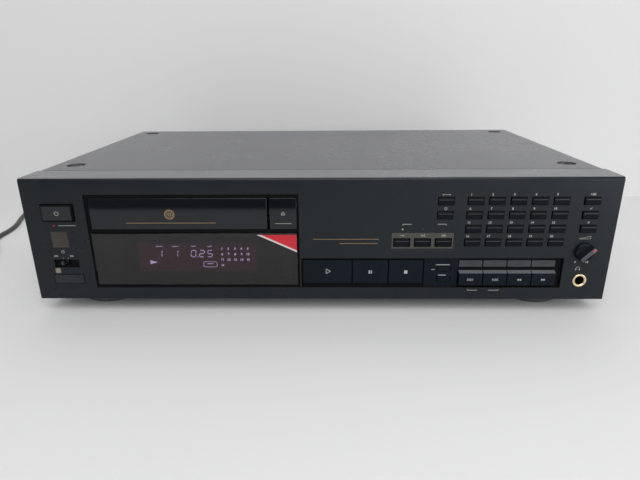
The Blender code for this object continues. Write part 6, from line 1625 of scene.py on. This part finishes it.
class PLAYER_OT_marks(bpy.types.Operator):
    """Makes the printed figures, symbols and lines on the front and its keys"""

    bl_idname = "player.marks"
    bl_label = "Printed marks"

    def execute(self, context):
        sizes = context.scene.player_sizes
        self.thick = sizes.print_depth
        self.height = sizes.figure_height
        self.print_panel()
        self.print_mode_plate()
        self.print_knob()
        self.print_gold()
        self.print_keys()
        return {"FINISHED"}

    def on_panel(self, *places, depth=FACE):
        """Marks laid on the panel, each with its x and z in millimetres."""
        shells = []
        for marks, x, z in places:
            shells += lay(marks, on_front(x, z), depth - self.thick, depth + self.thick)
        return shells

    def text(self, *places):
        """Figures on the panel, each with its x, z and height in millimetres."""
        return [figures(text, on_front(x, z), height * MM, FACE - self.thick, FACE + self.thick)
                for text, x, z, height in places]

    def print_panel(self):
        """Figures over the number keys, and symbols and lines over and under the rest."""
        over, tall = KEY_HALF + 1.4, self.height / MM
        shells = self.text(
            *((str(i + 1), NUMBER_X + PITCH * (i % 5) - 3.5, row_z(i // 5) + over + 0.05, tall)
              for i in range(20)),
            (">20", SIDE_X, row_z(0) + over + 0.05, tall), ("0", 189.8, 30.4, tall),
            ("10", 198.4, 30.4, tall), ("OFF", -197.0, 35.2, 1.3), ("ON", -185.2, 35.2, 1.3),
        )
        tick = line(0.3, (-0.8, 0), (-0.2, -0.6)) + line(0.3, (-0.25, -0.6), (0.9, 0.8))
        cross = line(0.3, (-0.7, -0.7), (0.7, 0.7)) + line(0.3, (-0.7, 0.7), (0.7, -0.7))
        both_ways = line(0.25, (-3, 0), (3, 0)) + pointer(-2.6, 1.2, -1) + pointer(2.6, 1.2)
        wedge = line(0.22, (4.2, 1.1), (-4.2, -0.9), (4.2, -0.9), (4.2, 1.1))
        ends = line(0.2, (-1.9, -0.6), (-1.9, 0.6)) + line(0.2, (1.9, -0.6), (1.9, 0.6))
        shells += self.on_panel(
            (tick, SIDE_X, row_z(1) + over),
            (cross, SIDE_X, row_z(2) + over),
            (clock_mark(2.0), TIME_X, row_z(1) + over + 0.2),
            (both_ways, TIME_X, row_z(0) + over),
            (bracket(15.6, -0.9, 0.20), 77.2, 59.9),
            (bracket(11.6, 0.9, 0.32), 124.2, 7.4),
            (wedge, 193.9, 49.4),
            (headphone_mark(3.2), 192.6, 25.2),
            (ends, -189.9, 33.4),
            (clock_mark(2.2), -191.2, 38.6),
            (line(0.3, (-6.5, 0), (6.5, 0)), -184.6, 59.2),
        )
        self.add_print("panel_marks", shells)
        lines = (line(0.5, (-5.1, 3.8), (5.1, 3.8)) + line(0.5, (-2.9, -4.6), (2.9, -4.6))
                 + line(0.35, (-8.6, 0), (-5.6, 0)))
        self.add_print("blank_marks", self.on_panel((lines, 93.1, 23.6), depth=FACE + 1.9 * MM))
        dot = self.on_panel((circle(0.35, 0.5), -194.4, 59.2))
        self.add_print("standby_dot", dot, look="Sticker red")

    def add_print(self, name, shells, body="case", slot="grey_plastic", look="Pale print"):
        """A piece of printed marks."""
        add_piece(name, shells, body, slot, look)

    def print_mode_plate(self):
        """An arrow, crossed arrows and three lines over the mode keys."""
        arrow = line(0.3, (-1.6, 0), (1.0, 0)) + pointer(1.2, 1.3)
        crossed = line(0.3, (-1.5, -0.6), (1.3, 0.6)) + line(0.3, (-1.5, 0.6), (1.3, -0.6))
        crossed += pointer(1.4, 0.9, 1, 0.6) + pointer(1.4, 0.9, 1, -0.6)
        lines = [stroke for z in (0.55, 0, -0.55) for stroke in line(0.25, (-1.5, z), (1.5, z))]
        places = [(marks, x, 51.2) for marks, x in zip((arrow, crossed, lines), MODE_X)]
        shells = self.on_panel(*places, depth=FACE - 0.06 * MM)
        self.add_print("mode_marks", shells, slot="key_black")

    def print_knob(self):
        """A pink tip at the pointing end of the knob's crest."""
        low, _, centre = box_of("level_knob")
        outer, inner, half = 6.3 * MM, 3.9 * MM, 0.75 * MM
        corners = np.array([(outer, -half), (outer, half), (inner, half), (inner, -half)])
        outline = centre + corners @ np.array([(1, 1), (1, -1)]) * math.sqrt(0.5)
        tip = plate(outline, low.y - 0.02 * MM, low.y + 0.1 * MM)
        self.add_print("knob_tip", tip, "level", "key_black", "Knob tip")

    def print_gold(self):
        """Gold lines on the panel and the door, and a plain ring on the door."""
        shells = self.on_panel((line(0.28, (-24.1, 0), (24.1, 0)), 20.35, 48.4),
                               (line(0.28, (-14.1, 0), (14.1, 0)), 29.7, 45.1))
        self.add_print("panel_lines", shells, slot="gold", look="Gold print")
        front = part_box("tray_door")[0].y
        depths = front - self.thick, front + 0.05 * MM
        ring = circle(3.4, 0.5) + circle(2.4, 0.3) + circle(1.0, 0.5)
        shells = lay(ring, on_front(-108.2, 67.3), *depths)
        shells += lay(line(0.3, (-33.1, 0), (33.1, 0)), on_front(-107.8, 60.9), *depths)
        self.add_print("door_marks", shells, "tray", "gold", "Gold print")

    def key_marks(self):
        """The symbol of each key that has one, how far above the key's middle it stands and
        how far behind its front, in millimetres."""
        power = arc(1.5, 125, 415, 0.32) + line(0.32, (0, 0.15), (0, 1.86))
        eject = line(0.25, (-1.5, -0.1), (1.5, -0.1), (0, 1.6), (-1.5, -0.1))
        eject += line(0.3, (-1.5, -0.8), (1.5, -0.8)) + line(0.28, (-6.0, -7.3), (6.0, -7.3))
        pause = line(0.85, (-0.75, -1.3), (-0.75, 1.3)) + line(0.85, (0.75, -1.3), (0.75, 1.3))
        hill = line(0.28, (-2.4, -0.5), (-0.9, -0.5), (0, 0.8), (0.9, -0.5), (2.4, -0.5))
        head = np.array([(0.15, 0.62), (0.15, 0.22), (-0.30, 0.42)]) * 1.9
        wedge = line(0.28, (2.6, 0.7), (-2.6, -0.7), (2.6, -0.7), (2.6, 0.7))
        step = pointer(-1.6, 1.3) + pointer(1.6, 1.3) + line(0.3, (-0.3, 0), (0.5, 0))
        marks = {
            "power_button": (power, 0, 0.15), "open_close_key": (eject, 0, 0),
            "play_key": ([m + (0.8, 0) for m in open_pointer(0, 3.8, 1, 0.4)], 0.6, 0.12),
            "pause_key": (pause, 0, 0.12),
            "stop_key": ([rounded_rectangle(2.4, 2.6, 0.1, 2)], 0, 0.12),
        }
        for i, way in ((1, 1), (2, -1)):
            skip = line(0.3, (1.6 * way, -0.95), (1.6 * way, 0.95))
            for x in (-1.5, 0.4):
                skip += open_pointer(x * way, 1.9, way, 0.25)
            marks[f"skip_key_{i}"] = (skip, -1.0, 0)
        for i, way in ((3, -1), (4, 1)):
            search = pointer(-0.8, 1.8, way) + pointer(0.8, 1.8, way)
            marks[f"skip_key_{i}"] = (search, -1.0, 0)
        symbols = hill, arc(0.798, 120, 420, 0.24) + [head], wedge, step
        for i, symbol in enumerate(symbols):
            marks[f"function_key_{i + 1}"] = (symbol, 0, 0.12)
        return marks

    def print_keys(self):
        """A symbol on each key that has one, riding with its key."""
        for node, (marks, up, sunk) in self.key_marks().items():
            middle, _, front = cap_of(node, 0)
            surface = front + sunk * MM
            shells = lay(marks, (middle[0], middle[1] + up * MM), surface - self.thick,
                         surface + 0.1 * MM)
            ink = "Dark print" if node.startswith("function") else "Pale print"
            self.add_print(node + "_mark", shells, body_of(node), look=ink)


class PLAYER_OT_inside(bpy.types.Operator):
    """Makes the tray, its frame and drive, the pickup, the boards and the transformer"""

    bl_idname = "player.inside"
    bl_label = "Mechanism"

    table = (
        ("disc_tray", 0.3, "tray_plastic", "Tray plastic"),
        ("transport_frame", 0.4, "tray_plastic", "Grey plastic"),
        ("clamp_bridge", 0.3, "zinc_steel", "Zinc sheet"),
        ("pickup_base", 0.3, "zinc_steel", "Zinc sheet"),
        ("optical_pickup", 0.3, "tray_plastic", "Tray plastic"),
        ("power_transformer", 0.5, "transformer_steel", "Transformer laminate"),
        ("main_board", 0.2, "circuit_board", "Board laminate"),
        ("line_out_sockets", 0.3, "gold", "Gold plate"),
        ("drive_gear", 0.12, "white_plastic", "White acetal"),
        ("motor_pulley", 0.12, "white_plastic", "White acetal"),
        ("loading_motor", 0.4, "zinc_steel", "Bright steel"),
        ("clamp_puck", 0.3, "white_plastic", "White acetal"),
        ("turntable", 0.2, "gloss_black", "Tray plastic"),
    )

    def execute(self, context):
        pieces = {node: eased(node, slot, look, ease * MM) for node, ease, slot, look in self.table}
        self.colour_sockets(pieces["line_out_sockets"])
        for node, look in (("guide_rod", "Bright steel"), ("loading_belt", "Belt rubber")):
            for place in frame["nodes"][node].material_slots:
                place.material = finish(look)
        return {"FINISHED"}

    def colour_sockets(self, piece):
        """Black block behind the collars, and a white and a red middle."""
        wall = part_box("rear_panel")[1].y
        middle = box_of("line_out_sockets")[2][0]

        def core(x, y, z):
            off = np.hypot(np.abs(x - middle) - 7.5 * MM, z - 30.9 * MM)
            return (off < 3.3 * MM) & (y > wall + 1 * MM)

        paint(
            piece, (lambda x, y, z: y < wall + 0.5 * MM, "Tray plastic"),
            (lambda x, y, z: core(x, y, z) & (x < middle), "Socket red"),
            (lambda x, y, z: core(x, y, z) & (x > middle), "Socket white"),
        )


class PLAYER_OT_stage(bpy.types.Operator):
    """Sets the pale floor and wall, the soft lamps and the room light"""

    bl_idname = "player.stage"
    bl_label = "Stage"

    reach, wall_top, wall_foot = 2.5, 2, -0.001

    def execute(self, context):
        stage = context.scene.player_stage
        side, behind = self.reach, stage.wall_behind
        floor = self.sheet("floor", (-side, -side, 0), (side, -side, 0), (side, side, 0),
                           (-side, side, 0))
        wall = self.sheet("wall", (-side, behind, self.wall_foot), (side, behind, self.wall_foot),
                          (side, behind, self.wall_top), (-side, behind, self.wall_top))
        card = make_piece("card", slab((-0.60, -0.82, 0.0), (0.02, -0.80, 0.26)))
        card.visible_camera = False
        for sheet, colour in ((floor, stage.floor), (wall, stage.wall), (card, (0.02,) * 3)):
            sheet.data.materials.append(pale_surface("Pale " + sheet.name, colour, 0.75))
        self.add_lamp("overhead", (0.05, -1.15, 1.0), (0, -0.12, 0), 1.3, stage.lamp_power)
        self.add_lamp("side", (0.70, -0.75, 0.16), (0.1, -0.13, 0.03), 0.40, stage.side_power)
        self.light_room(context, stage.sky)
        context.scene.view_settings.view_transform = "Standard"
        return {"FINISHED"}

    def sheet(self, name, *corners):
        """A flat sheet."""
        return make_piece(name, (np.array(corners, float), [(0, 1, 2, 3)]))

    def add_lamp(self, name, place, target, size, power):
        """A round soft lamp at a place, turned to a target."""
        data = bpy.data.lights.new(name, "AREA")
        data.shape = "DISK"
        data.size = size
        data.energy = power
        away = (Vector(place) - Vector(target)).normalized()
        side = Vector((0, 1, 0)).cross(away).normalized()
        turn = Matrix((side, away.cross(side), away)).transposed()
        in_scene(name, data).matrix_world = Matrix.Translation(place) @ turn.to_4x4()

    def light_room(self, context, strength):
        """White light, the same from all round."""
        world = bpy.data.worlds.new("room")
        context.scene.world = world
        world.use_nodes = True
        background = world.node_tree.nodes["Background"]
        background.inputs["Strength"].default_value = strength
        background.inputs["Color"].default_value = (1, 1, 1, 1)


OPERATORS = [
    PLAYER_OT_camera, PLAYER_OT_lead, PLAYER_OT_case, PLAYER_OT_front, PLAYER_OT_door,
    PLAYER_OT_display, PLAYER_OT_left_controls, PLAYER_OT_pad, PLAYER_OT_strip,
    PLAYER_OT_knob, PLAYER_OT_feet, PLAYER_OT_trim, PLAYER_OT_marks, PLAYER_OT_inside,
    PLAYER_OT_stage,
]


class PLAYER_PT_sidebar(bpy.types.Panel):
    """Lists the pieces in the sidebar"""

    bl_idname = "PLAYER_PT_sidebar"
    bl_label = "Disc player"
    bl_space_type = "VIEW_3D"
    bl_region_type = "UI"
    bl_category = "Disc player"

    def draw(self, context):
        for operator in OPERATORS:
            self.layout.operator(operator.bl_idname)
        for group in ("player_finishes", "player_sizes", "player_stage"):
            settings = getattr(context.scene, group)
            for name in settings.bl_rna.properties.keys():
                if name not in {"rna_type", "name"}:
                    self.layout.prop(settings, name)


CLASSES = (PlayerFinishes, PlayerSizes, StageSettings, *OPERATORS, PLAYER_PT_sidebar)


def register():
    """Registers the classes and hangs the settings on the scene."""
    for kind in CLASSES:
        bpy.utils.register_class(kind)
    bpy.types.Scene.player_finishes = PointerProperty(type=PlayerFinishes)
    bpy.types.Scene.player_sizes = PointerProperty(type=PlayerSizes)
    bpy.types.Scene.player_stage = PointerProperty(type=StageSettings)


def unregister():
    """Takes the settings and the classes away again."""
    del bpy.types.Scene.player_stage
    del bpy.types.Scene.player_sizes
    del bpy.types.Scene.player_finishes
    for kind in reversed(CLASSES):
        bpy.utils.unregister_class(kind)


def main():
    """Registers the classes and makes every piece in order."""
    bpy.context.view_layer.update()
    register()
    for operator in OPERATORS:
        getattr(bpy.ops.player, operator.bl_idname.split(".")[1])()


if __name__ == "__main__":
    main()
